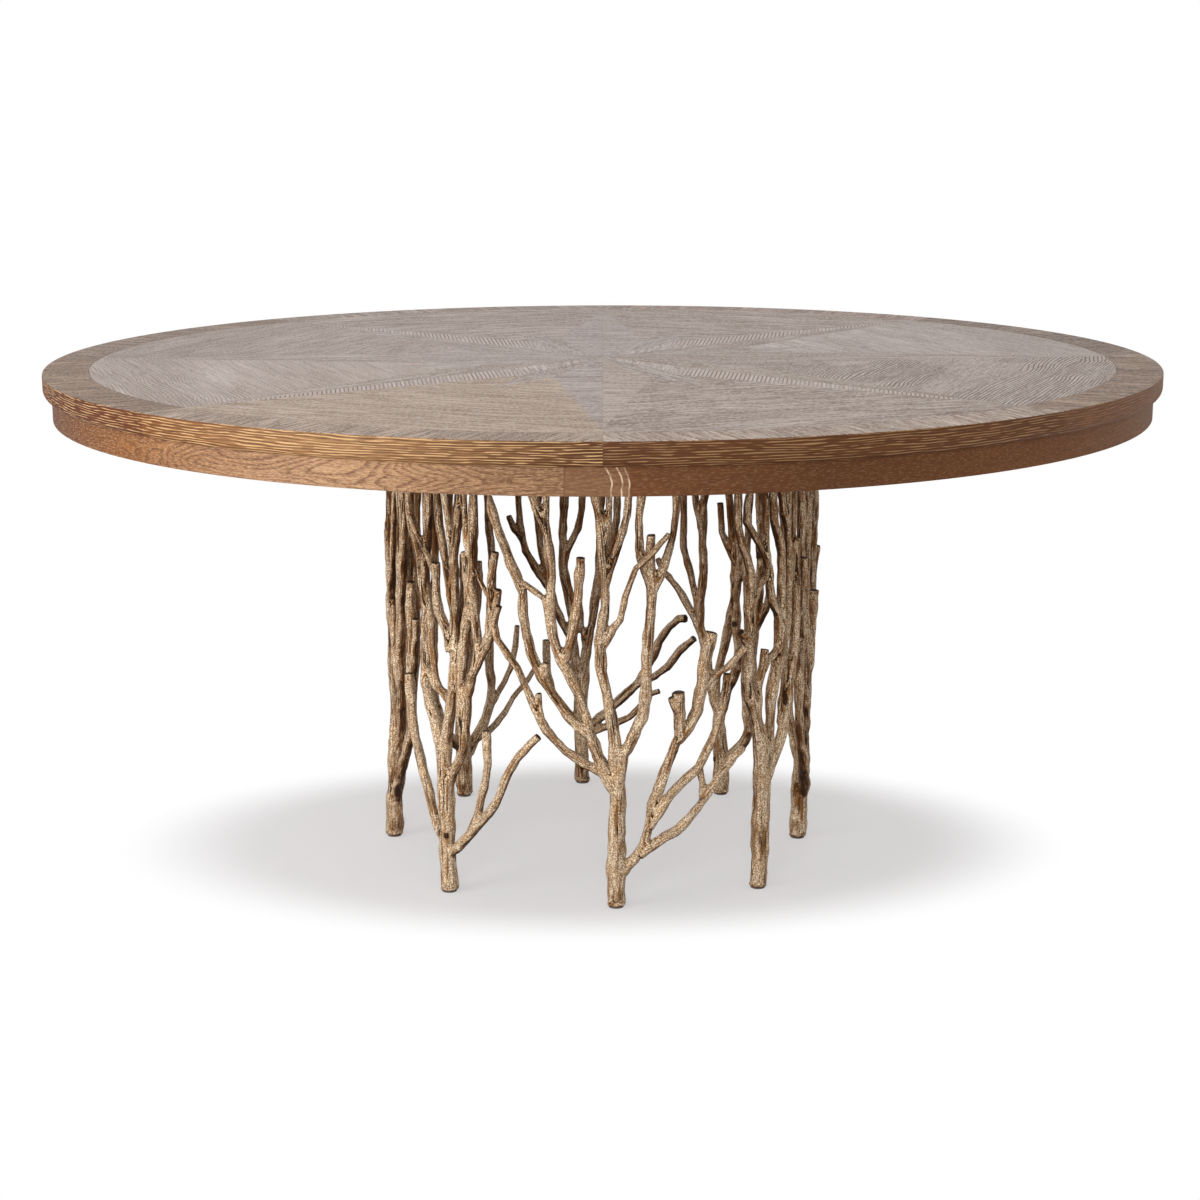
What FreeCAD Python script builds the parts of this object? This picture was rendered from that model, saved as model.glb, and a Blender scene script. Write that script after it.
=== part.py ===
import FreeCAD
import Part
import math
import os

Vector = FreeCAD.Vector
UP = Vector(0, 0, 1)

# A round dining table. Millimetres, +Z up, origin on the floor under the middle of the top.
# The front of the table looks along -Y, and turns are degrees from the front towards +X.

# Driving dimensions
table_diameter = 1676.0
table_height = 776.0
top_thickness = 33.0
ring_diameter = 640.0
trunk_diameter = 27.0

# Top: sawn lamellas on a core, inside a solid border
lamella_thickness = 3.0
border_width = 67.0
rim_round = 12.0
rim_ease = 2.0
glue_gap = 0.3

# Tongues and keys that tie the border to the core and to itself
tongue_thickness = 6.0
tongue_width = 24.0
tongue_end_gap = 20.0
key_thickness = 8.0
key_width = 28.0
key_length = 50.0
joint_play = 0.3

# Apron ring under the border
apron_depth = 36.0
apron_thickness = 20.0
apron_setback = 12.5
apron_ease = 2.0
block_thickness = 18.0
block_length = 60.0
block_height = 28.0
block_count = 12

# Cleats that stiffen the core
cleat_width = 45.0
cleat_height = 20.0
cleat_plate_gap = 12.0
cleat_block_gap = 3.0
cleat_screw_inset = 28.0

# Steel head plates on top of the saplings
plate_thickness = 6.0
plate_inward = 52.0
plate_outward = 25.0
plate_end_gap = 2.0
bolt_edge = 16.0
bolt_spread = 120.0

# Fasteners
bolt_diameter = 8.0
bolt_head_diameter = 13.0
bolt_head_height = 5.3
washer_diameter = 16.0
washer_thickness = 1.6
insert_diameter = 12.0
insert_length = 16.0
bolt_end_gap = 2.0
screw_diameter = 4.5
screw_head_diameter = 9.0
screw_head_height = 3.0
screw_bite = 18.0
fit_gap = 0.2
hole_end_gap = 1.0

# Glides under the feet
glide_diameter = 22.0
glide_thickness = 3.0
pin_diameter = 4.0
pin_head_diameter = 7.6
pin_head_height = 1.2
pin_recess = 0.5
pin_bite = 16.0

# One overrun serves all cuts
overrun = 5.0

# The compass rose, as shares of the border's inner radius, and its turns in degrees
POINTS = 8
long_tip_share = 0.962
short_tip_share = 0.471
shoulder_share = 0.326
SHOULDER_TURN = 16.3
APRON_SEAM_TURN = -3.2
APRON_PIECES = 4

# Which half of each long and short point is the light one: 1 is the half at the greater turn
LONG_LIGHT_SIDES = (1, -1, -1, 1, -1, -1, 1, 1)
SHORT_LIGHT_SIDES = (-1, -1, 1, 1, -1, -1, 1, 1)

# Places worked out from the sizes
table_radius = table_diameter / 2
border_inner = table_radius - border_width
core_radius = border_inner - glue_gap
core_top = table_height - lamella_thickness
underside = table_height - top_thickness
core_thickness = core_top - underside
apron_outer = table_radius - apron_setback
apron_inner = apron_outer - apron_thickness
block_outer = apron_inner - glue_gap
block_inner = block_outer - block_thickness
ring_radius = ring_diameter / 2
trunk_radius = trunk_diameter / 2
plate_inner = ring_radius - plate_inward
plate_outer = ring_radius + plate_outward
plate_bottom = underside - plate_thickness
bolt_circle = plate_inner + bolt_edge
tongue_middle = underside + core_thickness / 2

# The saplings: a route point is a turn round the ring in degrees and a height in shares.
# The underside of the head plates is this many shares above the glides.
RISE_SHARES = 74

# Each branch is (thickness shares of the trunk, depth shares of the ring radius, route).
FRONT_SHARES = (
    # trunk
    ((1, .98, .98, .92, .6), (.972, 1), ((3.4, 0), (3.2, 6), (3.6, 12), (3.8, 18), (3.3, 23.5))),
    # middle stem and its forks
    ((.67, .6, .55, .5), (1,), ((3.6, 17), (2.9, 25), (1.7, 31), (-.4, 36.3), (-.7, 40.5), (.6, 45.3),
     (.5, 50), (-.2, 56), (-1.8, 62), (-2.6, 74))),
    ((.47, .43), (1,), ((.6, 48.5), (2.4, 52), (4.4, 55.3), (6.2, 59.1), (7.1, 65), (7.6, 74))),
    ((.4, .35), (1,), ((.3, 52), (1.2, 57.7), (1.7, 63), (2.4, 74))),
    ((.41, .3), (1, 1.05), ((-.6, 39), (2.4, 42.5), (4.4, 43.9), (5.7, 47.5), (8.2, 51.5), (11.8, 53.4),
     (16.2, 56.5))),
    # thin twig to the left with a cut prong
    ((.52, .38), (1, 1, 1.055), ((2, 18.5), (0, 20.6), (-4.4, 22), (-9.7, 23.9), (-15, 26.8), (-18.2, 30.1),
     (-20.6, 33.4), (-22.4, 36), (-25, 38.2), (-27.6, 40.3), (-28.2, 42.5), (-26.3, 45.5))),
    ((.35, .33), (1,), ((-15.8, 27.3), (-16.6, 29.8), (-17, 32.5))),
    # left stem
    ((.65, .55, .47), (1,), ((3.2, 17.5), (1.5, 20), (-1.5, 23.4), (-3.2, 26.3), (-6.2, 27.7), (-10, 30.1),
     (-13.2, 32.5), (-16.2, 34.9), (-19.1, 38.7), (-20.7, 43), (-21.2, 47.2), (-23.2, 50.1), (-28, 56),
     (-30, 59.1), (-31.2, 64), (-32.2, 74))),
    ((.35, .33), (1,), ((-15.8, 34), (-15.2, 35.5), (-15, 37.2))),
    ((.33,), (1,), ((-20.9, 48.7), (-17.5, 47.6), (-15.3, 46.8), (-14, 43.6))),
    # second left stem and its forks
    ((.6, .45), (1,), ((-3.2, 26), (-4.4, 29.1), (-6.2, 32.5), (-8.7, 35.5), (-11, 38), (-13, 41),
     (-13.8, 45), (-13.5, 52), (-14.3, 56), (-16.2, 58.9), (-18.7, 62.5), (-20.4, 74))),
    ((.41, .37), (1,), ((-14.1, 55), (-14.7, 59), (-14.9, 65), (-14.6, 74))),
    ((.5, .51), (1,), ((-10.3, 37), (-9.1, 39.4), (-7.6, 42), (-6.8, 45.3), (-5.7, 53))),
    # right stem, its two prongs and its cut stub
    ((.65, .53), (1,), ((3.8, 17.5), (5.3, 23.5), (8, 26.5), (10.2, 29), (11.4, 33), (11.4, 37.5),
     (11.9, 43), (12.6, 47), (12.5, 50.5))),
    ((.47, .41), (1,), ((12.5, 48.5), (10.7, 51), (9.3, 54), (9.3, 58.5), (10.4, 65), (11.2, 74))),
    ((.47, .41), (1,), ((12.5, 47.5), (14.4, 49.6), (16.8, 53), (18.5, 56.5), (19.3, 63), (19.8, 74))),
    ((.47,), (1,), ((12.5, 49), (12.5, 53), (12.4, 56.2))),
    # low right branch, its cut stub and its long fork
    ((.6, .55), (.98, 1), ((3.4, 4.4), (5.8, 5.9), (8.4, 7.2), (10.7, 9), (12, 12.2), (13.2, 15.4),
     (15.6, 19), (18.2, 23), (20.3, 26), (20.5, 28))),
    ((.6, .66), (1,), ((20.2, 26), (20.3, 29.1), (20, 32.5))),
    ((.4, .34), (1,), ((20.1, 28.6), (18.8, 30.4), (17.8, 31.8))),
    ((.6, .68), (1,), ((20, 25), (22.9, 27), (25.3, 29.5), (26.5, 33), (27.6, 36.8), (29.4, 41))),
    ((.4, .34), (1, 1.06), ((26.2, 32), (28.5, 33.8), (30.9, 34.9), (33.2, 35.6), (35.9, 37.2), (38, 38.4))),
    # low twigs to the right
    ((.52, .46), (1, 1.02), ((12.2, 12), (15, 14.8), (17.9, 17.1), (22, 19.1), (25.8, 20.7), (29.5, 24.6),
     (31.8, 28.2), (33.2, 31.5), (33.8, 34.5))),
    ((.55, .44), (1, 1.05), ((9.6, 7.8), (13, 9.3), (16, 10.5), (19.4, 11.4), (22, 12.9), (24.8, 14.6),
     (28.6, 17.4), (31.9, 19.9), (35.2, 22), (38, 23))),
    ((.4, .36), (1.02, 1), ((26.2, 15.6), (27, 18), (26.2, 20.8))),
)

FRONT_LEFT_SHARES = (
    # trunk
    ((1, .98, .95, .88, .55), (1.047, 1), ((-43.9, 0), (-45, 6), (-46.2, 12), (-47.3, 17.5), (-47.6, 23))),
    # low branch to the left
    ((.6, .52), (1.03,), ((-45.6, 6.8), (-48.6, 9.2), (-50.8, 11), (-52.6, 12.9), (-54.2, 14.9), (-56, 17),
     (-57.9, 19.3), (-59.7, 21.6), (-61, 24), (-62.1, 26.5), (-62.9, 28.8), (-63.4, 31.4))),
    # low branch to the right with a cut twig
    ((.58, .4), (1.036, 1.05), ((-45.2, 5.2), (-43, 6), (-40.2, 7.3), (-36.4, 9.8), (-33.4, 11.7),
     (-30.6, 13.4), (-28, 15.5), (-26.2, 17.9), (-24.6, 20.3), (-22.2, 22.6), (-19, 24.7), (-16.2, 26.4))),
    ((.46, .44), (1.035,), ((-37.4, 9.4), (-35.8, 10.9), (-34.2, 13), (-32.8, 15.6), (-31.4, 18.5),
     (-30.7, 21.2), (-31, 23.8), (-31.2, 26.2))),
    # right stem and its cut forks
    ((.61, .55, .43), (1,), ((-47.3, 15.5), (-45, 18), (-42.3, 20), (-40.3, 22.5), (-39.4, 26), (-38.8, 30.1),
     (-37.2, 33.4), (-34.6, 36.2), (-32.2, 38.8), (-30.6, 41.5), (-29.5, 44.5), (-28.2, 47.5))),
    ((.45, .43), (1,), ((-31.2, 40.3), (-30.8, 44.5), (-30.4, 48.5), (-28.9, 53))),
    ((.27,), (1,), ((-36, 50.4), (-33.3, 48), (-30.8, 45.6))),
    # stems between
    ((.55, .57, .5), (1,), ((-40.4, 22), (-41, 27), (-41, 32), (-40.2, 36.5), (-38.8, 41), (-37.6, 45.5),
     (-36.5, 50), (-35.9, 56), (-35.3, 64), (-35, 74))),
    ((.47,), (1,), ((-36.6, 34), (-35, 38), (-35.5, 42), (-36.5, 47))),
    ((.35,), (1,), ((-36.7, 49), (-38.1, 54), (-38.7, 60), (-39, 74))),
    ((.41,), (1,), ((-38, 44), (-38.4, 48.5), (-38.9, 52.5))),
    # main stem and the forks beside it
    ((.6, .5), (1,), ((-47.6, 18), (-47.2, 23), (-45.4, 28), (-43.6, 32), (-42.8, 36), (-43.2, 43),
     (-43.2, 50), (-42.4, 54.5), (-41, 59.5), (-40.6, 66), (-41, 74))),
    ((.5, .45), (1,), ((-43.4, 43), (-45.3, 48), (-47, 52), (-48.8, 55.5), (-49.4, 61), (-49.5, 74))),
    ((.39,), (1,), ((-43, 51), (-44.5, 55.8), (-46, 60), (-46.8, 66), (-47, 74))),
    ((.55, .51), (1.01,), ((-43.6, 37), (-46, 40.2), (-48.6, 42.5), (-49.7, 45.5), (-49.6, 50))),
    # left stem, its forks and its links
    ((.65, .6, .5), (1,), ((-48.2, 18.5), (-50, 22), (-51.8, 25), (-54.4, 27.5), (-56, 30.5), (-56.4, 35),
     (-56, 41), (-56.4, 46.5), (-55.4, 51), (-53.4, 57), (-52.6, 63), (-52.4, 74))),
    ((.5, .41), (1,), ((-56.4, 46.5), (-60, 50.6), (-63, 53.8), (-65, 57.5), (-65.6, 64), (-65.6, 74))),
    ((.35, .29), (1.01, 1.03), ((-49.7, 47.4), (-52.5, 50.4), (-56.5, 53.4), (-61, 56.2))),
    ((.47, .5), (1,), ((-44.9, 28.8), (-48, 30), (-52, 31), (-56, 33.5))),
    ((.45, .39), (1,), ((-49.5, 30.4), (-52, 33.5), (-52.9, 37), (-53, 40), (-55.8, 45))),
)

LEFT_SHARES = (
    # trunk
    ((1.02, 1, .98, .9, .6), (1.059, 1.034), ((-93.3, 0), (-93, 5), (-92.6, 10), (-92.2, 15.5), (-92, 21))),
    # low branch towards the front, ending in a cut
    ((.65, .53), (1.04, .98, .98), ((-92.8, 6), (-87, 9.5), (-81, 12.5), (-76, 16), (-72.6, 20), (-70.6, 25),
     (-69.6, 31), (-69.2, 38), (-68.8, 45))),
    ((.45, .39), (.98, 1), ((-69.8, 29), (-66, 32.8), (-63.4, 36.5), (-62.4, 40))),
    # front stem with a fork
    ((.63, .45), (1,), ((-92.2, 15), (-88, 19), (-84, 23), (-80.8, 28), (-78.4, 34), (-76.8, 41), (-75.6, 48),
     (-74.4, 56), (-73.4, 64), (-73, 74))),
    ((.47, .41), (1,), ((-77.2, 39), (-73.6, 45), (-70.8, 51), (-69.6, 58), (-69.4, 74))),
    ((.47, .53), (1.01, 1.03), ((-82.8, 24.6), (-82.4, 30), (-81.4, 35.5), (-81, 41))),
    # middle stems
    ((.63, .48), (1.035, 1.04, 1.03), ((-92.1, 16.5), (-91, 23), (-89.4, 30), (-87.6, 37), (-86, 44),
     (-85.4, 52), (-86, 62), (-86.2, 74))),
    ((.53, .43), (1.045, 1.04, 1.03), ((-90, 27), (-92.6, 32.5), (-94.6, 39), (-94.8, 46), (-93.8, 54),
     (-93.4, 63), (-93.4, 74))),
    ((.43, .37), (1.03, 1), ((-86.4, 42), (-83.2, 47), (-81.2, 53), (-80.2, 61), (-79.8, 74))),
    ((.43, .45), (1.04, 1.05), ((-94.4, 37.5), (-91.8, 41.5), (-90.4, 46), (-90, 51))),
    # back stems
    ((.63, .45), (1.035, 1), ((-92.4, 14), (-96.4, 18), (-100.4, 22.5), (-103, 28), (-103.8, 35),
     (-103.2, 42), (-102, 50), (-101.4, 60), (-101.4, 74))),
    ((.47, .39), (1,), ((-103.5, 38), (-105.2, 43), (-106.2, 49), (-106.8, 57), (-106.8, 74))),
    ((.61, .45), (1.03, 1), ((-93, 7.5), (-97, 10), (-101.8, 13.5), (-106, 18), (-108.8, 23.5), (-110, 30),
     (-109.8, 38), (-110.8, 46), (-111.8, 54), (-112, 63), (-112, 74))),
    ((.37, .27), (1, 1.045), ((-109.8, 31), (-111.8, 34.5), (-113.6, 38.6), (-114, 43))),
)

RIGHT_SHARES = (
    # trunk
    ((1.02, 1, .98, .9, .6), (.978, 1), ((91.2, 0), (91, 5), (90.6, 10), (90.2, 15.5), (90, 21))),
    # low branch towards the front
    ((.65, .53, .45), (1,), ((90.7, 7), (85, 10.5), (79.4, 13.6), (74.6, 17.4), (71.6, 22), (70.2, 27.5),
     (70.4, 34), (71, 41), (70.6, 48), (69.4, 55), (68.6, 63), (68.4, 74))),
    ((.43, .45), (1.01, 1.03), ((70.6, 36), (67.8, 40), (66.8, 44.5), (66.8, 49))),
    # front stem with forks
    ((.63, .45), (1,), ((90.2, 15), (86, 19.5), (82.2, 23.5), (79.2, 28.5), (77.8, 35), (77, 42), (75.6, 49),
     (75.2, 57), (75.6, 65), (75.6, 74))),
    ((.49, .55), (1.01, 1.03), ((80, 27), (81.6, 31.5), (82.2, 36.5), (82.6, 42))),
    ((.43, .39), (1,), ((77, 41), (80, 46), (81.6, 52), (81.8, 60), (81.6, 74))),
    # middle stems
    ((.65, .48), (1, 1.03), ((90.1, 16.5), (90.2, 22), (91, 28), (90.4, 35), (88.6, 42), (87.4, 49),
     (87.6, 58), (88, 66), (88, 74))),
    ((.53, .43), (1.01, 1.04, 1.045), ((90.9, 27), (93.6, 32), (95.4, 38.5), (95.6, 45.5), (94.6, 53),
     (94.4, 62), (94.6, 74))),
    ((.43, .45), (1.015, 1.05), ((89.4, 38), (92, 43), (92, 48))),
    ((.39, .37), (1.04,), ((95.6, 43), (98.4, 48), (100, 55), (100.4, 64), (100.4, 74))),
    # back stems
    ((.63, .45), (1, 1.04), ((90.4, 14), (94.4, 18), (98.6, 22), (101.8, 27.5), (103, 34), (103.4, 41),
     (104.6, 48), (106.2, 56), (106.4, 65), (106.4, 74))),
    ((.61, .45), (1,), ((90.8, 7.5), (96, 10), (101.8, 13), (107, 17), (110.6, 22), (112.2, 28.5),
     (111.6, 35.5), (112.4, 43), (114.6, 50.5), (115.6, 59), (115.6, 74))),
    ((.43, .43), (1.01, 1.03), ((103, 33), (100.4, 37), (99.2, 41.5))),
    ((.35, .27), (1, 1.04), ((112.2, 31), (115.6, 34), (118, 38), (118.8, 42))),
)

FRONT_RIGHT_SHARES = (
    # trunk
    ((1, 1, .98, .95, .85, .6), (1.019, 1), ((45.7, 0), (46.4, 6), (47, 12), (47.5, 17), (47.5, 21),
     (46.7, 25))),
    # left stem, its cut stub and its upper part
    ((.75, .67), (1,), ((47.5, 19), (46.9, 22.5), (46, 25), (44.6, 27.5), (43, 29.7), (42.2, 32.5),
     (42.1, 35.5), (42, 37.5))),
    ((.55, .47), (1.01,), ((42.1, 35.5), (41.3, 38.2), (40, 39.6), (38.4, 40.3))),
    ((.57, .47, .43), (1,), ((42.1, 35.5), (43, 39.5), (42.7, 43), (42.4, 49), (41.2, 51.5), (39.2, 53.4),
     (37.9, 56), (37.5, 60), (37.7, 74))),
    ((.41,), (1,), ((43, 44.2), (45, 46), (46.8, 47), (49.6, 48.2))),
    # middle stem and its three ways up
    ((.6, .67), (1,), ((48.6, 18), (50.6, 21), (51.3, 25), (51.8, 28.5), (53, 31.5), (54.8, 34), (56, 37),
     (56.1, 40.5))),
    ((.51, .45, .35), (1,), ((56, 38.5), (54.3, 41.5), (51.6, 43.8), (50.2, 46.5), (49.6, 49), (47.8, 51),
     (45.5, 53), (43, 55), (40.8, 56.6), (40.6, 59), (42, 62), (43.4, 67), (43.8, 74))),
    ((.53, .47), (1,), ((56, 38.5), (56.4, 42), (55.8, 46), (55.8, 50.5), (54.6, 53.2), (52.6, 55.4),
     (51.4, 59), (51.2, 64), (51.3, 74))),
    ((.43, .41), (1,), ((49.4, 48.6), (48.4, 52), (48.2, 56), (47.9, 62), (48, 74))),
    # cut stub between them and the link behind it
    ((.47, .51), (1.01,), ((45.4, 26.4), (45.4, 30), (46, 32.5), (47.2, 35), (47.9, 36.8))),
    ((.45,), (1, .99, 1), ((45.6, 29.6), (48, 33), (50.6, 34.8), (55, 36))),
    # right stem ending in a cut, and the stem between
    ((.55, .57, .55), (1, 1.02, 1.01), ((48, 13.5), (49.8, 16.4), (51.8, 18.4), (54.2, 20.3), (56.3, 22.6),
     (57.8, 25.2), (59, 28), (60.4, 31), (62, 35), (63.2, 39.5), (63.8, 44), (63.8, 48), (63.6, 52.5))),
    ((.45,), (1,), ((57.2, 24), (58.2, 30), (59, 36), (60.2, 43), (60.2, 49.5), (59.2, 53.6), (58.6, 58),
     (58.8, 64), (58.9, 74))),
    ((.41,), (1,), ((59, 54), (56.4, 56.6), (55.2, 60), (54.9, 65), (54.8, 74))),
    ((.45,), (1,), ((63.4, 44), (62, 50), (62.6, 56), (63, 63), (63, 74))),
)

BACK_RIGHT_SHARES = (
    # trunk
    ((1, .98, .95, .85, .55), (.972, 1), ((139.8, 0), (140.2, 4), (140.8, 7.5), (141.6, 11), (142.4, 15))),
    # wide low branch towards the right of the table
    ((.65, .55), (.99, 1), ((140.4, 4.6), (137.6, 6.2), (134.4, 8), (131.6, 9.8), (129.4, 12), (128.4, 16),
     (128.8, 21), (128.2, 27), (126.6, 33), (125.4, 40), (125.4, 47), (126.4, 54), (126.8, 62), (126.8, 74))),
    ((.47, .41), (1,), ((129.4, 11.4), (131.2, 14.8), (131.8, 19), (131.2, 24), (131, 30), (131.8, 36),
     (131.6, 44), (130.8, 52), (130.8, 62), (130.8, 74))),
    ((.45, .45), (1.01, 1.03), ((127.4, 30), (124.2, 33.4), (122.6, 37.6))),
    # main stem winding up
    ((.67, .6), (1,), ((141.4, 8.5), (142, 11), (141.2, 13.6), (140, 16.2), (138.4, 18.6), (136.4, 20.4),
     (134.6, 23))),
    ((.55, .49), (1, .99, 1), ((134.8, 22), (134.4, 26), (135.4, 30), (135.2, 35), (133.8, 41), (134.8, 48),
     (135.2, 56), (135.2, 74))),
    # right stem with its fork
    ((.55, .57, .55), (1.01, 1.01, 1), ((142.2, 12), (143.4, 16), (143, 20), (141.6, 23), (139.8, 27.2),
     (138.2, 31.2), (136.7, 35.2), (136.4, 39), (137, 43), (138.4, 48), (139.2, 55), (139.4, 74))),
    ((.49, .45), (1,), ((136.8, 41), (139.6, 43.2), (141.6, 45.4), (142.2, 50.4))),
    # low branch towards the back with two tall stems
    ((.55, .51), (1,), ((142.2, 13), (144.4, 17.2), (145.6, 21.4), (147.4, 25), (148.8, 28.4), (148.8, 32.4),
     (148, 38), (148.4, 44), (148, 50), (146.6, 56), (146, 64), (146, 74))),
    ((.49, .43), (1,), ((149, 29.6), (150.6, 33.4), (152.6, 38), (154.6, 42), (154.6, 47), (155.2, 53),
     (155.4, 62), (155.4, 74))),
    ((.41, .37), (1,), ((148.4, 45), (150.4, 49), (151.6, 54), (151.8, 62), (151.8, 74))),
    ((.51, .39), (1, 1.02), ((148, 26.6), (149.8, 28.6), (152, 30.7), (155.2, 33.4), (158.8, 35.8),
     (161.8, 37.8), (163.4, 39.6))),
)

BACK_SHARES = (
    # trunk
    ((1, .98, .92, .8, .55), (.959, 1), ((186.8, 0), (187, 5), (187.2, 10), (187, 15), (186.6, 20))),
    # arch towards the right of the table, its fork and a cut twig under it
    ((.61, .51), (1, 1, .955), ((186.4, 8.4), (183.4, 9.7), (179, 11.8), (173.9, 14.7), (168.9, 17.7),
     (165.4, 21.1), (162.2, 25.1), (158.6, 28), (155.2, 29.6), (152.6, 29.9))),
    ((.53, .49), (1,), ((169.6, 17.2), (167, 18), (163.8, 18.8), (159.9, 20.6), (155.7, 23.8),
     (150.8, 26.2))),
    ((.51, .39), (.99,), ((186, 7.4), (182.6, 8.7), (177, 9.8), (172, 11.1), (167.8, 13.6), (165.2, 15.5),
     (162.2, 16.2))),
    # left and right stems
    ((.65, .5), (1,), ((186.8, 13), (186, 17), (185.4, 21.4), (184.2, 26), (182.6, 31), (181.4, 37),
     (180.8, 44), (180.4, 51), (180, 60), (180, 74))),
    ((.49, .43), (1,), ((181.8, 34), (178.8, 38.6), (176.6, 43), (175.6, 49), (175, 57), (175, 74))),
    ((.45, .47), (1.01, 1.03), ((184.8, 23), (186.6, 26.8), (187.4, 31), (187.4, 35.4))),
    ((.65, .51), (1,), ((187.1, 14), (188.6, 18.4), (189, 23.4), (189.4, 28.4), (190.6, 33.6), (192.2, 38),
     (192.4, 43), (191.8, 50), (191.4, 60), (191.4, 74))),
    ((.45, .39), (1,), ((192.2, 39), (190, 42), (187.6, 44.6), (186.4, 48.4), (186, 54), (186, 74))),
    ((.49, .43), (1,), ((189.2, 25), (192.4, 28), (195.4, 32), (197.8, 36.6), (199.6, 42), (200.2, 48),
     (198.8, 54), (198, 62), (198, 74))),
    ((.49, .43), (1,), ((197.2, 35), (201.2, 38.4), (204.2, 41.4), (205.8, 45.6), (206.4, 52), (206.6, 62),
     (206.6, 74))),
    ((.39, .41), (1.01, 1.02), ((205.2, 43.6), (207.6, 45), (209.2, 47.6))),
    ((.55, .45), (1,), ((187.1, 10), (191.6, 12.4), (195.6, 15.6), (197.8, 20), (197.6, 25.4))),
)

BACK_LEFT_SHARES = (
    # trunk
    ((1, .98, .95, .88, .6), (1.034, 1), ((226, 0), (226.4, 4), (227, 8.5), (228, 13.5), (229, 19))),
    # low branch, its twigs and its stem
    ((.6, .53), (1.02, 1), ((226.4, 6.4), (223.6, 8.4), (220.6, 10.4), (218, 12.6), (216.4, 15.4),
     (216, 19), (216.8, 23.4), (216.8, 27.6), (215.8, 32), (215.4, 38), (216.2, 45), (217, 53), (217, 74))),
    ((.41, .31), (1.02, 1.03), ((222.4, 9), (217.6, 10), (214, 11.4), (211, 13.2), (208.4, 15.4), (205.6, 17),
     (202.6, 18.8), (200.2, 20.8))),
    ((.41, .35), (1.01, 1.03), ((216.6, 14.8), (213.6, 17), (211, 18.8), (208.8, 21), (207.2, 24.4),
     (206.4, 28.2))),
    # inner stems
    ((.65, .5), (1,), ((228, 13), (226, 18), (224.4, 23), (223.6, 29), (223.2, 36), (222.6, 43), (222.2, 51),
     (222.4, 60), (222.4, 74))),
    ((.47, .47), (1.01, 1.03), ((223.6, 28), (220.8, 31.6), (219.6, 36), (219.4, 40.4))),
    ((.45, .39), (1,), ((222.8, 41), (225.2, 45.6), (226.8, 51), (227.4, 59), (227.6, 74))),
    ((.65, .5), (1,), ((228.6, 16), (230, 22), (230.8, 28), (230.4, 35), (230.8, 42), (232, 49), (233, 57),
     (233.4, 65), (233.4, 74))),
    ((.49, .43), (1,), ((230.6, 27), (227.6, 31.4), (226.6, 37), (226.8, 42.4))),
    # outer stems
    ((.63, .5), (1.02, 1), ((226.8, 8), (231.6, 10.4), (236, 13.6), (239.2, 18), (240.6, 24), (240.2, 31),
     (239, 38), (238.6, 46), (239.4, 54), (240.2, 63), (240.4, 74))),
    ((.47, .41), (1,), ((239.9, 17.6), (242.4, 21.4), (244, 26.4), (244.6, 33), (244.2, 41), (243.8, 50),
     (244.2, 60), (244.2, 74))),
    ((.41, .43), (1.01, 1.03), ((239.4, 34), (241.6, 38), (242, 43))),
)

SAPLINGS = (
    ("front", 0, FRONT_SHARES),
    ("front_right", 1, FRONT_RIGHT_SHARES),
    ("right", 2, RIGHT_SHARES),
    ("back_right", 3, BACK_RIGHT_SHARES),
    ("back", 4, BACK_SHARES),
    ("back_left", 5, BACK_LEFT_SHARES),
    ("left", 6, LEFT_SHARES),
    ("front_left", 7, FRONT_LEFT_SHARES),
)
EIGHTH_TURN = 360 / POINTS


def polar(radius, turn, height):
    """A point at a turn from the front towards +X."""
    angle = math.radians(turn)
    return Vector(radius * math.sin(angle), -radius * math.cos(angle), height)


def spread(values, share):
    """Read a short list of values at a share of its length."""
    if len(values) == 1:
        return values[0]
    spot = share * (len(values) - 1)
    low = min(int(spot), len(values) - 2)
    return values[low] + (values[low + 1] - values[low]) * (spot - low)


def upright(radius, height, place):
    """A round bar that stands on a place."""
    return Part.makeCylinder(radius, height, place, UP)


def turned(outline, start_turn, sweep):
    """Turn a closed outline of radius and height about the middle of the table."""
    rim = [edge_points(corner) for corner in outline]
    edges = []
    for first, second in zip(rim, rim[1:] + rim[:1]):
        if len(first) == 3:
            edges.append(Part.Arc(*first).toShape())
        if (first[-1] - second[0]).Length > 1e-7:
            edges.append(Part.LineSegment(first[-1], second[0]).toShape())
    face = Part.Face(Part.Wire(edges))
    solid = face.revolve(Vector(0, 0, 0), UP, sweep)
    solid.rotate(Vector(0, 0, 0), UP, start_turn - 90)
    return solid


def edge_points(corner):
    """A plain corner is (radius, height); an arc is three such pairs."""
    if isinstance(corner[0], tuple):
        return [Vector(radius, 0, height) for radius, height in corner]
    return [Vector(corner[0], 0, corner[1])]


def rounded(radius, height, size, toward_radius, toward_height):
    """Three points of a quarter round at an outline's corner."""
    middle = size * (1 - math.sqrt(0.5))
    across = (radius + toward_radius * size, height)
    along = (radius, height + toward_height * size)
    between = (radius + toward_radius * middle, height + toward_height * middle)
    return (across, between, along)


def prism(corners, bottom, thickness):
    """A flat plate with straight edges."""
    points = [Vector(x, y, bottom) for x, y in corners]
    face = Part.Face(Part.makePolygon(points + points[:1]))
    return face.extrude(Vector(0, 0, thickness))


def radial_box(inner, outer, width, bottom, height, turn):
    """A box that points outwards at a turn."""
    box = Part.makeBox(width, outer - inner, height, Vector(-width / 2, -outer, bottom))
    box.rotate(Vector(0, 0, 0), UP, turn)
    return box


def rose_point(share, turn):
    """A corner of the compass rose in plan."""
    place = polar(border_inner * share, turn, 0)
    return (place.x, place.y)


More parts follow.
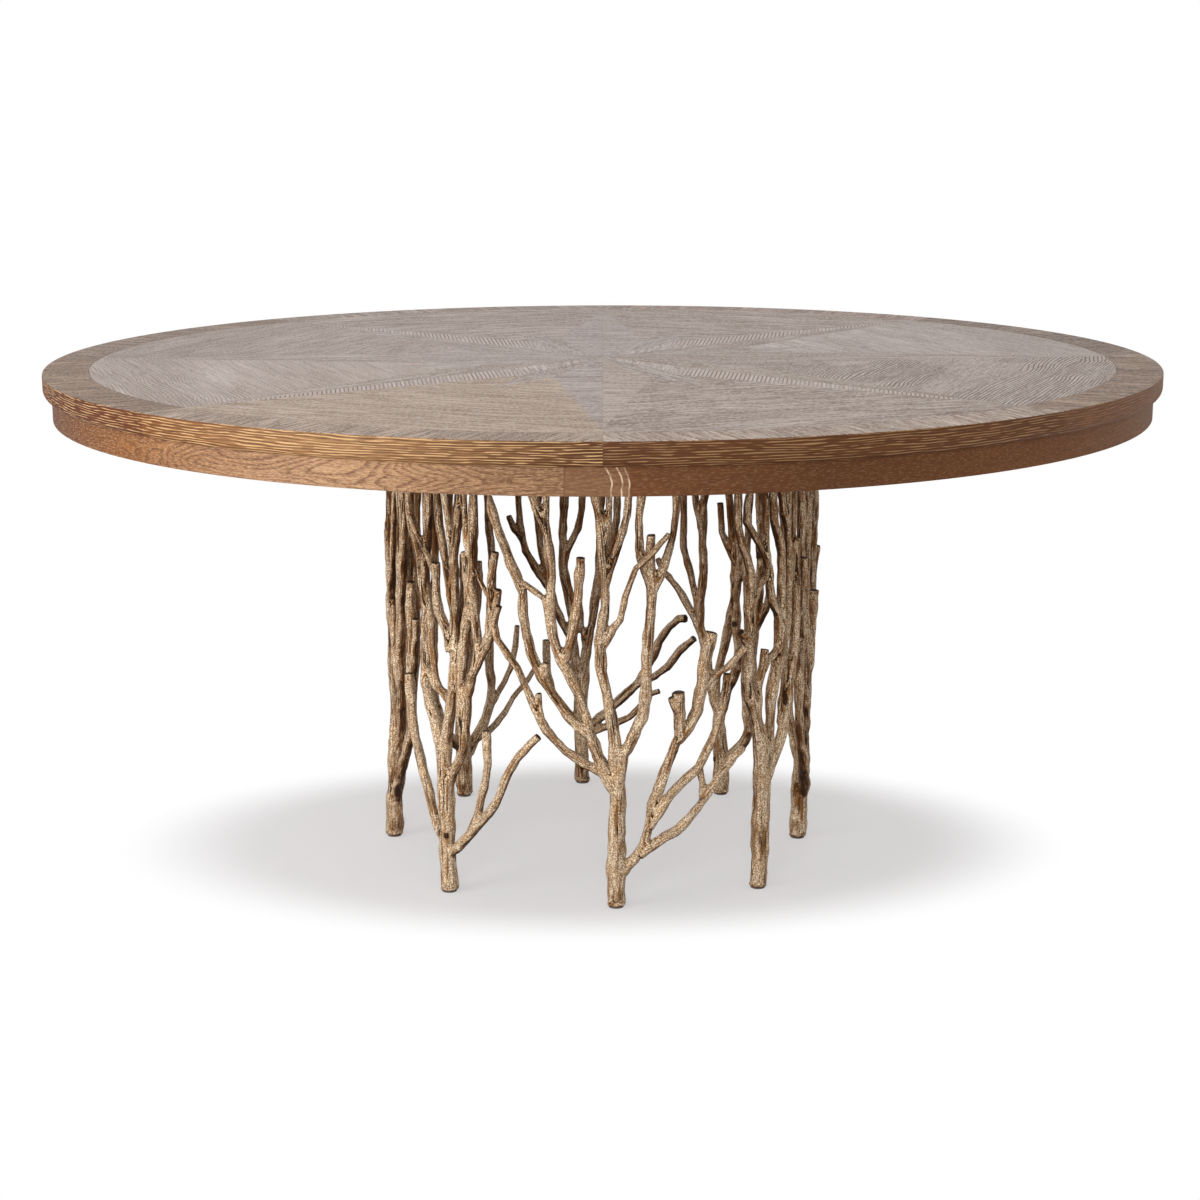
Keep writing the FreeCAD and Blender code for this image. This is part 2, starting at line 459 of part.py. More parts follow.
def star_halves(tip_share, half_turn, centre_turn, sides):
    """One half of each of the eight points of the rose. A side of 1 is the half at the greater turn."""
    halves = []
    for index, side in enumerate(sides):
        axis = centre_turn + index * EIGHTH_TURN
        shoulder = rose_point(shoulder_share, axis + side * half_turn)
        halves.append(prism(((0, 0), rose_point(tip_share, axis), shoulder), core_top, lamella_thickness))
    return Part.makeCompound(halves)


def other_sides(sides):
    """The halves that the given ones leave."""
    return tuple(-side for side in sides)


def field_lamella(index):
    """The piece of the top between two long points and the border."""
    first = index * EIGHTH_TURN
    last = first + EIGHTH_TURN
    corners = (
        rose_point(long_tip_share, first),
        rose_point(shoulder_share, first + SHOULDER_TURN),
        rose_point(short_tip_share, first + EIGHTH_TURN / 2),
        rose_point(shoulder_share, last - SHOULDER_TURN),
        rose_point(long_tip_share, last),
    )
    points = [Vector(x, y, core_top) for x, y in corners]
    start = polar(core_radius, first, core_top)
    middle = polar(core_radius, first + EIGHTH_TURN / 2, core_top)
    end = polar(core_radius, last, core_top)
    chain = [start] + points + [end]
    edges = [Part.LineSegment(a, b).toShape() for a, b in zip(chain, chain[1:])]
    edges.append(Part.Arc(end, middle, start).toShape())
    return Part.Face(Part.Wire(edges)).extrude(Vector(0, 0, lamella_thickness))


def tongue_groove(inner, outer):
    """The ring groove for the loose tongues, between two radii."""
    half = tongue_thickness / 2 + joint_play
    corners = (
        (inner, tongue_middle - half),
        (outer, tongue_middle - half),
        (outer, tongue_middle + half),
        (inner, tongue_middle + half),
    )
    return turned(corners, 0, 360)


def tongue_reach():
    """How far a tongue's groove runs into each side of the joint."""
    return tongue_width / 2 + joint_play


def core_disc():
    """The flat core with its groove, insert holes and screw holes."""
    core = upright(core_radius, core_thickness, Vector(0, 0, underside))
    cuts = [tongue_groove(core_radius - tongue_reach(), core_radius + overrun)]
    for place in bolt_places():
        cuts.append(upright(insert_diameter / 2 + fit_gap, insert_length + hole_end_gap, place))
    for place in cleat_screw_places():
        cuts.append(upright(screw_diameter / 2 + fit_gap, screw_bite + hole_end_gap, place))
    return core.cut(Part.makeCompound(cuts))


def border_piece(index):
    """One solid piece of the border with its round underside, groove and key slots."""
    outline = (
        (border_inner, underside),
        rounded(table_radius, underside, rim_round, -1, 1),
        tuple(reversed(rounded(table_radius, table_height, rim_ease, -1, -1))),
        (border_inner, table_height),
    )
    first = index * EIGHTH_TURN
    piece = turned(outline, first, EIGHTH_TURN)
    cuts = [tongue_groove(border_inner - overrun, border_inner + tongue_reach())]
    for turn in (first, first + EIGHTH_TURN):
        cuts.append(key_block(turn, joint_play))
    for place in block_screw_places():
        cuts.append(upright(screw_diameter / 2 + fit_gap, screw_bite + hole_end_gap, place))
    return piece.cut(Part.makeCompound(cuts))


def key_block(turn, play):
    """A loose key across a seam of the border, or with play the slot for it."""
    middle = (border_inner + tongue_reach() + table_radius - rim_round) / 2
    half_width = key_width / 2 + play
    thickness = key_thickness + 2 * play
    return radial_box(middle - half_width, middle + half_width, key_length + 2 * play,
                      tongue_middle - thickness / 2, thickness, turn)


def border_keys():
    """The keys of all eight seams."""
    return Part.makeCompound([key_block(index * EIGHTH_TURN, 0) for index in range(POINTS)])


def border_tongues():
    """Curved loose tongues between the core and the border."""
    inner = core_radius - tongue_width / 2
    outer = border_inner + tongue_width / 2
    half = tongue_thickness / 2
    corners = (
        (inner, tongue_middle - half),
        (outer, tongue_middle - half),
        (outer, tongue_middle + half),
        (inner, tongue_middle + half),
    )
    gap_turn = math.degrees(tongue_end_gap / border_inner)
    tongues = []
    for index in range(POINTS):
        tongues.append(turned(corners, index * EIGHTH_TURN + gap_turn, EIGHTH_TURN - 2 * gap_turn))
    return Part.makeCompound(tongues)


def apron_piece(index):
    """A quarter of the bent apron ring."""
    bottom = underside - apron_depth
    outline = (
        rounded(apron_inner, bottom, apron_ease, 1, 1)[::-1],
        rounded(apron_outer, bottom, apron_ease, -1, 1),
        (apron_outer, underside),
        (apron_inner, underside),
    )
    sweep = 360 / APRON_PIECES
    return turned(outline, APRON_SEAM_TURN + index * sweep, sweep)


def block_turns():
    """Where the glue blocks sit behind the apron, starting at a seam."""
    return [APRON_SEAM_TURN + index * 360 / block_count for index in range(block_count)]


def block_screw_places():
    """Where the block screws enter the border."""
    middle = (block_inner + block_outer) / 2
    return [polar(middle, turn, underside) for turn in block_turns()]


def glue_blocks():
    """Blocks that hold the apron to the border."""
    bottom = underside - block_height
    corners = (
        (block_inner, bottom),
        (block_outer, bottom),
        (block_outer, underside),
        (block_inner, underside),
    )
    half_turn = math.degrees(block_length / 2 / block_outer)
    blocks = [turned(corners, turn - half_turn, 2 * half_turn) for turn in block_turns()]
    hole_start = UP * (block_height + overrun)
    hole_length = block_height + 2 * overrun
    hole_radius = screw_diameter / 2 + fit_gap
    holes = [upright(hole_radius, hole_length, place - hole_start) for place in block_screw_places()]
    return Part.makeCompound(blocks).cut(Part.makeCompound(holes))


def cleat_turns():
    """The cleats point between the saplings."""
    return [EIGHTH_TURN / 2 + index * EIGHTH_TURN for index in range(POINTS)]


def cleat_ends():
    """The inner and outer radius of a cleat."""
    return plate_outer + cleat_plate_gap, block_inner - cleat_block_gap


def cleat_screw_radii():
    """Three screws along each cleat, all in the core."""
    inner, outer = cleat_ends()
    first = inner + cleat_screw_inset
    last = min(outer, core_radius - tongue_reach()) - cleat_screw_inset
    return (first, (first + last) / 2, last)


def cleat_screw_places():
    """Where the cleat screws enter the core."""
    return [polar(radius, turn, underside) for turn in cleat_turns() for radius in cleat_screw_radii()]


def cleat(index):
    """A radial cleat under the core."""
    inner, outer = cleat_ends()
    turn = cleat_turns()[index]
    bar = radial_box(inner, outer, cleat_width, underside - cleat_height, cleat_height, turn)
    holes = []
    for radius in cleat_screw_radii():
        place = polar(radius, turn, underside - cleat_height - overrun)
        holes.append(upright(screw_diameter / 2 + fit_gap, cleat_height + 2 * overrun, place))
    return bar.cut(Part.makeCompound(holes))


def screw(place, grip):
    """A screw whose shank starts a grip below its place and whose head is under that."""
    seat = place - UP * grip
    shank = upright(screw_diameter / 2, grip + screw_bite, seat)
    head = upright(screw_head_diameter / 2, screw_head_height, seat - UP * screw_head_height)
    return shank.fuse(head).removeSplitter()


def bolt_turns(index):
    """Two bolts in each head plate."""
    half = math.degrees(bolt_spread / 2 / bolt_circle)
    return (index * EIGHTH_TURN - half, index * EIGHTH_TURN + half)


def bolt_places():
    """Where the plate bolts enter the core."""
    return [polar(bolt_circle, turn, underside) for index in range(POINTS) for turn in bolt_turns(index)]


def head_plate(index):
    """A curved steel plate on the tips of one sapling."""
    corners = (
        (plate_inner, plate_bottom),
        (plate_outer, plate_bottom),
        (plate_outer, underside),
        (plate_inner, underside),
    )
    gap_turn = math.degrees(plate_end_gap / 2 / plate_inner)
    first = (index - 0.5) * EIGHTH_TURN + gap_turn
    plate = turned(corners, first, EIGHTH_TURN - 2 * gap_turn)
    holes = []
    for turn in bolt_turns(index):
        place = polar(bolt_circle, turn, plate_bottom - overrun)
        holes.append(upright(bolt_diameter / 2 + fit_gap, plate_thickness + 2 * overrun, place))
    return plate.cut(Part.makeCompound(holes))


def plate_bolt(place):
    """A bolt through washer and plate into its insert."""
    seat = place - UP * (plate_thickness + washer_thickness)
    length = plate_thickness + washer_thickness + insert_length - bolt_end_gap
    shank = upright(bolt_diameter / 2, length, seat)
    head = upright(bolt_head_diameter / 2, bolt_head_height, seat - UP * bolt_head_height)
    return shank.fuse(head).removeSplitter()


def pipe(outer_diameter, bore_diameter, height, place):
    """A short tube that stands on a place."""
    hole = upright(bore_diameter / 2, height + 2 * overrun, place - UP * overrun)
    return upright(outer_diameter / 2, height, place).cut(hole)


def washer(place):
    """A washer under the head plate."""
    seat = place - UP * (plate_thickness + washer_thickness)
    return pipe(washer_diameter, bolt_diameter + 2 * fit_gap, washer_thickness, seat)


def insert(place):
    """A threaded insert in the core."""
    return pipe(insert_diameter, bolt_diameter + 2 * fit_gap, insert_length, place)


def route_place(turn, rise, depth):
    """A point of a branch's route."""
    lift = (plate_bottom - glide_thickness) * rise / RISE_SHARES
    return polar(ring_radius * depth, turn, glide_thickness + lift)


def branch(thickness_shares, depth_shares, route):
    """A tapering round rod along a route, cut square at both ends."""
    last = len(route) - 1
    places = []
    for index, (turn, rise) in enumerate(route):
        places.append(route_place(turn, rise, spread(depth_shares, index / last)))
    rings = []
    for index, place in enumerate(places):
        along = places[min(index + 1, last)] - places[max(index - 1, 0)]
        if route[index][1] in (0, RISE_SHARES):
            along = UP
        outwards = Vector(place.x, place.y, 0)
        turn = FreeCAD.Rotation(outwards, Vector(0, 0, 0), along, "ZXY")
        radius = trunk_radius * spread(thickness_shares, index / last)
        ring = Part.Circle(Vector(0, 0, 0), UP, radius).toShape()
        ring.Placement = FreeCAD.Placement(place, turn)
        rings.append(Part.Wire([ring]))
    return Part.makeLoft(rings, True, True)


def foot_place(branches):
    """The middle of a sapling's foot, on its glide."""
    depth_shares, route = branches[0][1:]
    return route_place(route[0][0], route[0][1], depth_shares[0])


def sapling(branches):
    """A trunk with all its branches in one casting, with the hole for the glide pin."""
    rods = [branch(*entry) for entry in branches]
    casting = rods[0].multiFuse(rods[1:])
    hole = upright(pin_diameter / 2 + fit_gap, pin_bite + hole_end_gap, foot_place(branches))
    return casting.cut(hole)


def glide(branches):
    """A round glide with a recess for the head of its pin."""
    foot = foot_place(branches) - UP * glide_thickness
    disc = pipe(glide_diameter, pin_diameter + 2 * fit_gap, glide_thickness, foot)
    recess = upright(pin_head_diameter / 2 + fit_gap, pin_recess + pin_head_height, foot)
    return disc.cut(recess)


def glide_pin(branches):
    """The pin that nails a glide to its foot."""
    foot = foot_place(branches) - UP * glide_thickness
    head = upright(pin_head_diameter / 2, pin_head_height, foot + UP * pin_recess)
    length = glide_thickness + pin_bite - pin_recess
    shank = upright(pin_diameter / 2, length, foot + UP * pin_recess)
    return head.fuse(shank).removeSplitter()


def group(pieces):
    """Separate like solids under one name."""
    return Part.makeCompound(list(pieces))


def save(name, shape):
    """Write one piece and say its volume."""
    shape.exportStep("parts/" + name + ".step")
    print(name, "solids", len(shape.Solids), "litres", round(shape.Volume / 1e6, 4), "valid", shape.isValid())


def main():
    os.makedirs("parts", exist_ok=True)
    save("top_core", core_disc())
    half_short = EIGHTH_TURN / 2 - SHOULDER_TURN
    long_dark_sides = other_sides(LONG_LIGHT_SIDES)
    short_dark_sides = other_sides(SHORT_LIGHT_SIDES)
    save("star_long_light", star_halves(long_tip_share, SHOULDER_TURN, 0, LONG_LIGHT_SIDES))
    save("star_long_dark", star_halves(long_tip_share, SHOULDER_TURN, 0, long_dark_sides))
    save("star_short_light", star_halves(short_tip_share, half_short, EIGHTH_TURN / 2, SHORT_LIGHT_SIDES))
    save("star_short_dark", star_halves(short_tip_share, half_short, EIGHTH_TURN / 2, short_dark_sides))
    for index in range(POINTS):
        save("field_lamella_" + str(index + 1), field_lamella(index))
        save("border_piece_" + str(index + 1), border_piece(index))
        save("cleat_" + str(index + 1), cleat(index))
    save("border_keys", border_keys())
    save("border_tongues", border_tongues())
    for index in range(APRON_PIECES):
        save("apron_piece_" + str(index + 1), apron_piece(index))
    save("apron_blocks", glue_blocks())
    save("block_screws", group(screw(place, block_height) for place in block_screw_places()))
    save("cleat_screws", group(screw(place, cleat_height) for place in cleat_screw_places()))
    save("plate_bolts", group(plate_bolt(place) for place in bolt_places()))
    save("plate_washers", group(washer(place) for place in bolt_places()))
    save("thread_inserts", group(insert(place) for place in bolt_places()))
    for name, index, branches in SAPLINGS:
        save("head_plate_" + name, head_plate(index))
        save("sapling_" + name, sapling(branches))
    save("foot_glides", group(glide(branches) for name, index, branches in SAPLINGS))
    save("glide_pins", group(glide_pin(branches) for name, index, branches in SAPLINGS))


main()
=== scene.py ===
# %% [markdown]
# A round dining table stands on eight cast metal saplings under an oak top laid as a compass star. The
# frame has every piece in its place and at its size, without a surface. The script gives the wooden and
# steel pieces a finish and leaves them where they are. Only the plain rods of the castings are replaced, by
# a skin with bark, fillets, knots and sawn ends.

# %% Load the frame
import math
import bmesh
import bpy
import numpy as np
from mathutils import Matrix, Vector


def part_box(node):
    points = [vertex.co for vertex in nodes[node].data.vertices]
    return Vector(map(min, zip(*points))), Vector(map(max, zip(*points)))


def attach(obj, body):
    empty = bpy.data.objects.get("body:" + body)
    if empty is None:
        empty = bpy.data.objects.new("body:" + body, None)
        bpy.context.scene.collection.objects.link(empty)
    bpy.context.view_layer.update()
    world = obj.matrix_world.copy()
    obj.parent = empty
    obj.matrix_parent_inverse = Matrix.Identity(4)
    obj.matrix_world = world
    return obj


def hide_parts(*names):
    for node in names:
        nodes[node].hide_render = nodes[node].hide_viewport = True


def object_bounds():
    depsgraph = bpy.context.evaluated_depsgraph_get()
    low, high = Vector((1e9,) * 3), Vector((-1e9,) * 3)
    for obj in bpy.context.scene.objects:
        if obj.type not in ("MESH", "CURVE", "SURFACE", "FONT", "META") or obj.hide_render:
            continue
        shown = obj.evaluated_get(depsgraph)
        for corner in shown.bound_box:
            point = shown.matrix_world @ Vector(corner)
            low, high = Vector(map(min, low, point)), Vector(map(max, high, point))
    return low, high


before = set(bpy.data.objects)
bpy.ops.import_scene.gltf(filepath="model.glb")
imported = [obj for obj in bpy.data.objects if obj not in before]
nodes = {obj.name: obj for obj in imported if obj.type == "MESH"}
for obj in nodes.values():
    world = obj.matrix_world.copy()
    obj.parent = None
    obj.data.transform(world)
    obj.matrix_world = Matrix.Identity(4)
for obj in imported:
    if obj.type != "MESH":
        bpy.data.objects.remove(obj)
cad_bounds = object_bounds()
core_low, core_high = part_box("top_core")
print("nodes", len(nodes), "bounds", cad_bounds)
print("core board", core_low, core_high)

# %% [markdown]
# The camera is fitted to the ellipse of the rim and to the eight feet in the photograph. It stands 3.49 m
# in front of the middle and 1.19 m above the floor, and looks 12.8 degrees down through a long lens.

# %% Camera
CAMERA_PLACE = (0.0, -3.493, 1.188)
CAMERA_TILT = math.radians(77.19)
CAMERA_ROLL = math.radians(0.1145)
LENS = 68.31
FRAME_SHIFT = -0.0017


def new_object(name, data):
    """A new object, linked into the scene."""
    thing = bpy.data.objects.new(name, data)
    bpy.context.scene.collection.objects.link(thing)
    return thing


camera_data = bpy.data.cameras.new("front_camera")
camera_data.sensor_width = 36.0
camera_data.lens = LENS
camera_data.shift_x = FRAME_SHIFT
camera = new_object("front_camera", camera_data)
camera.location = CAMERA_PLACE
camera.rotation_euler = (CAMERA_TILT, CAMERA_ROLL, 0.0)
bpy.context.scene.camera = camera
bpy.context.scene.view_settings.view_transform = "Standard"
print("camera", CAMERA_PLACE, "lens", LENS)

# %% [markdown]
# Colours are written as a paint chart gives them, as three numbers from 0 to 255. The shader works with
# linear light, so one small helper turns a chart colour into a linear one.

# %% Chart colours
def chart(red, green, blue):
    """A colour from 0 to 255 as linear light with full opacity."""
    shares = [value / 255 for value in (red, green, blue)]
    linear = [s / 12.92 if s <= 0.04045 else ((s + 0.055) / 1.055) ** 2.4 for s in shares]
    return (*linear, 1.0)


print("chart white", chart(255, 255, 255))

# %% [markdown]
# A finish is a small network of nodes. A bench holds the few steps that a finisher repeats. Each step
# returns a socket, and sockets are passed on like values.

# %% Bench for finishes
class Bench:
    """Builds the nodes of one finish. A step returns an output socket, and finish returns the material."""

    def __init__(self, name):
        self.material = bpy.data.materials.new(name)
        self.material.use_nodes = True
        self.tree = self.material.node_tree
        self.shader = self.tree.nodes["Principled BSDF"]

    def put(self, socket, value):
        if isinstance(value, bpy.types.NodeSocket):
            self.tree.links.new(value, socket)
        else:
            socket.default_value = value

    def node(self, kind, inputs=(), **settings):
        node = self.tree.nodes.new("ShaderNode" + kind)
        for key, value in settings.items():
            setattr(node, key, value)
        for key, value in dict(inputs).items():
            self.put(node.inputs[key], value)
        return node

    def sums(self, operation, first, second=0.0, third=0.0):
        return self.node("Math", {0: first, 1: second, 2: third}, operation=operation).outputs[0]

    def times(self, first, second):
        return self.sums("MULTIPLY", first, second)

    def times_plus(self, first, second, third):
        """The first times the second, plus the third."""
        return self.sums("MULTIPLY_ADD", first, second, third)

    def largest(self, first, *others):
        for other in others:
            first = self.sums("MAXIMUM", first, other)
        return first

    def vector(self, operation, first, second=(0, 0, 0)):
        inputs = {0: first, 3 if operation == "SCALE" else 1: second}
        node = self.node("VectorMath", inputs, operation=operation)
        return node.outputs["Value" if operation in ("DOT_PRODUCT", "LENGTH") else "Vector"]

    def object_place(self):
        return self.node("TexCoord").outputs["Object"]

    def stored(self, name, output="Fac"):
        return self.node("Attribute", attribute_name=name).outputs[output]

    def facing_up(self, kind):
        """The height of a normal: 1 where the surface faces up and -1 where it faces down."""
        return self.split(self.node("NewGeometry").outputs[kind])[2]

    def split(self, vector):
        return self.node("SeparateXYZ", {0: vector}).outputs

    def join(self, x, y, z):
        return self.node("CombineXYZ", {0: x, 1: y, 2: z}).outputs[0]

    def from_axis(self, vector):
        """The distance from the upright line through the middle."""
        x, y, z = self.split(vector)
        return self.vector("LENGTH", self.join(x, y, 0.0))

    def turn(self, vector, angle):
        return self.node("VectorRotate", {0: vector, "Angle": angle}, rotation_type="Z_AXIS").outputs[0]

    def cloud(self, vector, scale, detail=2.0, roughness=0.5, distortion=0.0):
        names = ("Vector", "Scale", "Detail", "Roughness", "Distortion")
        inputs = zip(names, (vector, scale, detail, roughness, distortion))
        return self.node("TexNoise", inputs).outputs["Fac"]

    def pulled(self, vector, pull, *shape):
        """A cloud that is pulled long in the directions where the pull is small."""
        return self.cloud(self.vector("MULTIPLY", vector, pull), 1.0, *shape)

    def cut(self, value, low, high, start=0.0, end=1.0):
        inputs = {"Value": value, "From Min": low, "From Max": high, "To Min": start, "To Max": end}
        return self.node("MapRange", inputs, interpolation_type="SMOOTHSTEP").outputs["Result"]

    def waves(self, across, step, wander, turns):
        """Level waves from -1 to 1, a step apart, that a cloud pushes aside by some turns."""
        phase = self.times_plus(wander, turns, self.sums("DIVIDE", across, step))
        return self.sums("SINE", self.times(phase, math.tau))

    def threads(self, vector, pull, half):
        """Thin wavy lines: the places where a pulled cloud passes through its middle height."""
        away = self.sums("ABSOLUTE", self.sums("SUBTRACT", self.pulled(vector, pull, 0.0), 0.5))
        return self.cut(away, 0.6 * half, half, 1.0, 0.0)

    def mix(self, share, first, second, kind="RGBA"):
        """A mix of two colours, or of two places when the kind is VECTOR."""
        start, output = (6, 2) if kind == "RGBA" else (4, 1)
        inputs = {0: share, start: first, start + 1: second}
        return self.node("Mix", data_type=kind, inputs=inputs).outputs[output]

    def tint(self, colour, tone, mask, share):
        """Lays a tone over a colour where the mask is 1, as strongly as the share says."""
        return self.mix(self.times(mask, share), colour, tone)

    def strip(self, share, colours, interpolation="LINEAR"):
        """A strip of colours at even distances that is read off at a share from 0 to 1."""
        ramp = self.node("ValToRGB", {0: share})
        ramp.color_ramp.interpolation = interpolation
        stops = ramp.color_ramp.elements
        parts = len(colours) - (interpolation == "LINEAR")
        for index in range(1, len(colours)):
            stops.new(index / parts)
        stops.remove(stops[len(colours)])
        for stop, colour in zip(stops, colours):
            stop.color = chart(*colour)
        return ramp.outputs["Color"]

    def bump(self, height, depth):
        return self.node("Bump", {"Height": height, "Distance": depth, "Strength": 1.0}).outputs["Normal"]

    def finish(self, **sockets):
        for key, value in sockets.items():
            self.put(self.shader.inputs[key.replace("_", " ")], value)
        return self.material


print("bench ready")

# %% [markdown]
# The photographer's floor is white paper. It shows as a soft grey pool under the table and runs out to pure
# white around it. The pool is the paper as the lamps light it, with the table's own shadow, lifted by a
# painted glow: a glow that only the camera sees lies over it at a share in the middle and rises to full
# white along an ellipse, so the ellipse paints the pool's edge. Outside it the paper meets the white
# background with no horizon.

# %% Floor
FLOOR_HALF = 9.0
FLOOR_TONE = chart(237, 236, 240)
PAPER_ROUGHNESS = 0.8
POOL_SIZE = (0.68, 0.41, 1.0)
POOL_START = 0.76
POOL_END = 1.14
POOL_SHIFT = (0.02, 0.0, 0.0)
POOL_GLOW = 0.42
paper = bmesh.new()
bmesh.ops.create_grid(paper, x_segments=8, y_segments=8, size=FLOOR_HALF)
floor_mesh = bpy.data.meshes.new("paper_floor")
paper.to_mesh(floor_mesh)
paper.free()
floor = new_object("paper_floor", floor_mesh)

bench = Bench("white_paper")
pool = bench.vector("DIVIDE", bench.vector("ADD", bench.object_place(), POOL_SHIFT), POOL_SIZE)
away = bench.vector("LENGTH", pool)
seen = bench.node("LightPath").outputs["Is Camera Ray"]
# painted light: the glow lifts the table's shadow in the pool, and the ellipse where it rises paints the
# pool's edge
painted_glow_share = bench.times(bench.cut(away, POOL_START, POOL_END, POOL_GLOW, 1.0), seen)
glow = bench.node("Emission", {"Color": (1, 1, 1, 1), "Strength": 1.0}).outputs[0]
blend = bench.node("MixShader", {0: painted_glow_share, 1: bench.shader.outputs[0], 2: glow})
bench.put(bench.tree.nodes["Material Output"].inputs["Surface"], blend.outputs[0])
floor.data.materials.append(bench.finish(Base_Color=FLOOR_TONE, Roughness=PAPER_ROUGHNESS))
print("floor ready")

# %% [markdown]
# The white room is an even light from all sides at half strength. A wide box above gives the top its calm
# sheen. A box behind the camera lights what faces the front, so round branches are dark at their edges,
# and painted shade on their sides darkens them more. A box at the front left puts the bright stretch on the
# left of the rim, and a painted highlight in the rim's and apron's tones there widens it. The camera and
# reflections see the room as plain white, like the background.

# %% Room and lamps
ROOM_LIGHT = 0.5
room = bpy.data.worlds.new("white_room")
room.use_nodes = True
room_nodes = room.node_tree.nodes
link = room.node_tree.links.new
path = room_nodes.new("ShaderNodeLightPath")
seen_or_mirrored = path.outputs["Is Camera Ray"]
for ray in ("Is Glossy Ray", "Is Transmission Ray"):
    either = room_nodes.new("ShaderNodeMath")
    either.operation = "MAXIMUM"
    link(seen_or_mirrored, either.inputs[0])
    link(path.outputs[ray], either.inputs[1])
    seen_or_mirrored = either.outputs[0]
strength = room_nodes.new("ShaderNodeMapRange")
strength.inputs["To Min"].default_value = ROOM_LIGHT
link(seen_or_mirrored, strength.inputs["Value"])
link(strength.outputs["Result"], room_nodes["Background"].inputs["Strength"])
room_nodes["Background"].inputs["Color"].default_value = (1.0, 1.0, 1.0, 1.0)
bpy.context.scene.world = room


def soft_box(name, place, aim, width, height, watts):
    """A rectangular lamp at a place, facing a point."""
    lamp = bpy.data.lights.new(name, "AREA")
    lamp.shape = "RECTANGLE"
    lamp.size = width
    lamp.size_y = height
    lamp.energy = watts
    box = new_object(name, lamp)
    box.location = place
    box.rotation_euler = (Vector(aim) - Vector(place)).to_track_quat("-Z", "Y").to_euler()
    box.visible_camera = False


soft_box("box_above", (-0.4, -0.3, 3.2), (0, 0, 0.7), 3.0, 3.0, 21)
soft_box("box_front", (-0.6, -4.2, 1.9), (0, 0, 0.5), 2.4, 1.4, 62)
soft_box("box_front_left", (-3.0, -1.9, 0.75), (0, 0, 0.7), 2.0, 1.3, 58)
print("lamps", len(bpy.data.lights))

# %% [markdown]
# Limed oak was brushed along the grain, filled with white wax and wiped. The wax stays in the open pores,
# as fine pale dashes, and in broad clouds. Noise that is pulled long in the direction of the grain gives
# every piece its own figure. The growth rings are contour lines: a pulled cloud is read as a height, and
# its levels are drawn as bands, which gives the pointed arches of plainsawn oak.

# %% Limed oak
BOARD_SHIFT = (1.37, 0.71, 0.43)
RING_PULL = (1.3, 11.0, 11.0)
RING_LEVELS = 34.0
RING_SHAPE = (1.5, 0.45, 0.35)
FIBRE_PULL = (12.0, 190.0, 190.0)
FIBRE_CUT = (0.44, 0.57)
PORE_PULL = (190.0, 430.0, 430.0)
PORE_CUT = (0.50, 0.60)
THREAD_PULL = (4.5, 70.0, 70.0)
THREAD_HALF = 0.035
CLOUD_PULL = (2.2, 9.0, 9.0)
CLOUD_CUT = (0.34, 0.68)
OAK_SHARES = (0.38, 0.95, 0.6, 0.42)
OAK_BUMP = 0.00022
SEAM_TONE = chart(104, 84, 70)


def oak_figure(bench, along, seed, ring_levels=RING_LEVELS, ring_pull=RING_PULL, fineness=1.0):
    """Growth rings, fibres, pores and clouds of one board, each from 0 to 1. The grain runs along x."""
    place = bench.vector("ADD", along, tuple(seed * part for part in BOARD_SHIFT))
    height = bench.times(bench.pulled(place, ring_pull, *RING_SHAPE), ring_levels / 2)
    level = bench.sums("FRACT", height)
    rings = bench.times(bench.cut(level, 0.3, 0.9), bench.cut(level, 0.9, 1.0, 1.0, 0.0))
    sawn = bench.vector("MULTIPLY", place, (1.0, fineness, fineness))
    fibres = bench.cut(bench.pulled(sawn, FIBRE_PULL, 4.0, 0.85), *FIBRE_CUT)
    fibres = bench.largest(fibres, bench.threads(sawn, THREAD_PULL, THREAD_HALF))
    pores = bench.cut(bench.pulled(place, PORE_PULL, 1.0), *PORE_CUT)
    clouds = bench.cut(bench.pulled(place, CLOUD_PULL, 4.0, 0.6), *CLOUD_CUT)
    return rings, fibres, pores, clouds


def oak_colour(bench, figure, pale, dark, lime, shares=OAK_SHARES):
    """The colour of a board by the shares of rings, fibres, pores and clouds. Lime fills the pores."""
    rings, fibres, pores, clouds = figure
    ring_share, fibre_share, pore_share, cloud_share = shares
    wood = bench.tint(pale, dark, rings, ring_share)
    wood = bench.tint(wood, dark, clouds, cloud_share)
    wood = bench.tint(wood, dark, fibres, fibre_share)
    return bench.tint(wood, lime, pores, pore_share)


def oak_relief(bench, figure):
    """Brushed grain that stands a fifth of a millimetre proud."""
    fibres, pores = figure[1:3]
    return bench.bump(bench.times_plus(fibres, 0.6, bench.times(pores, -0.4)), OAK_BUMP)


print("limed oak ready")

# %% [markdown]
# The grain of the eight fields between the long points lies square to the line from the middle to the
# field's centre. Turning the coordinates by that line makes x the grain in every field. Each field is made
# of two strips, and their joint, the chord between two star tips, shows as a hair line. Some fields also
# show their late wood as thin dark lines, in the outer strip and in a few stretches inside.

# %% Fields of the top
EIGHTH = math.pi / 4
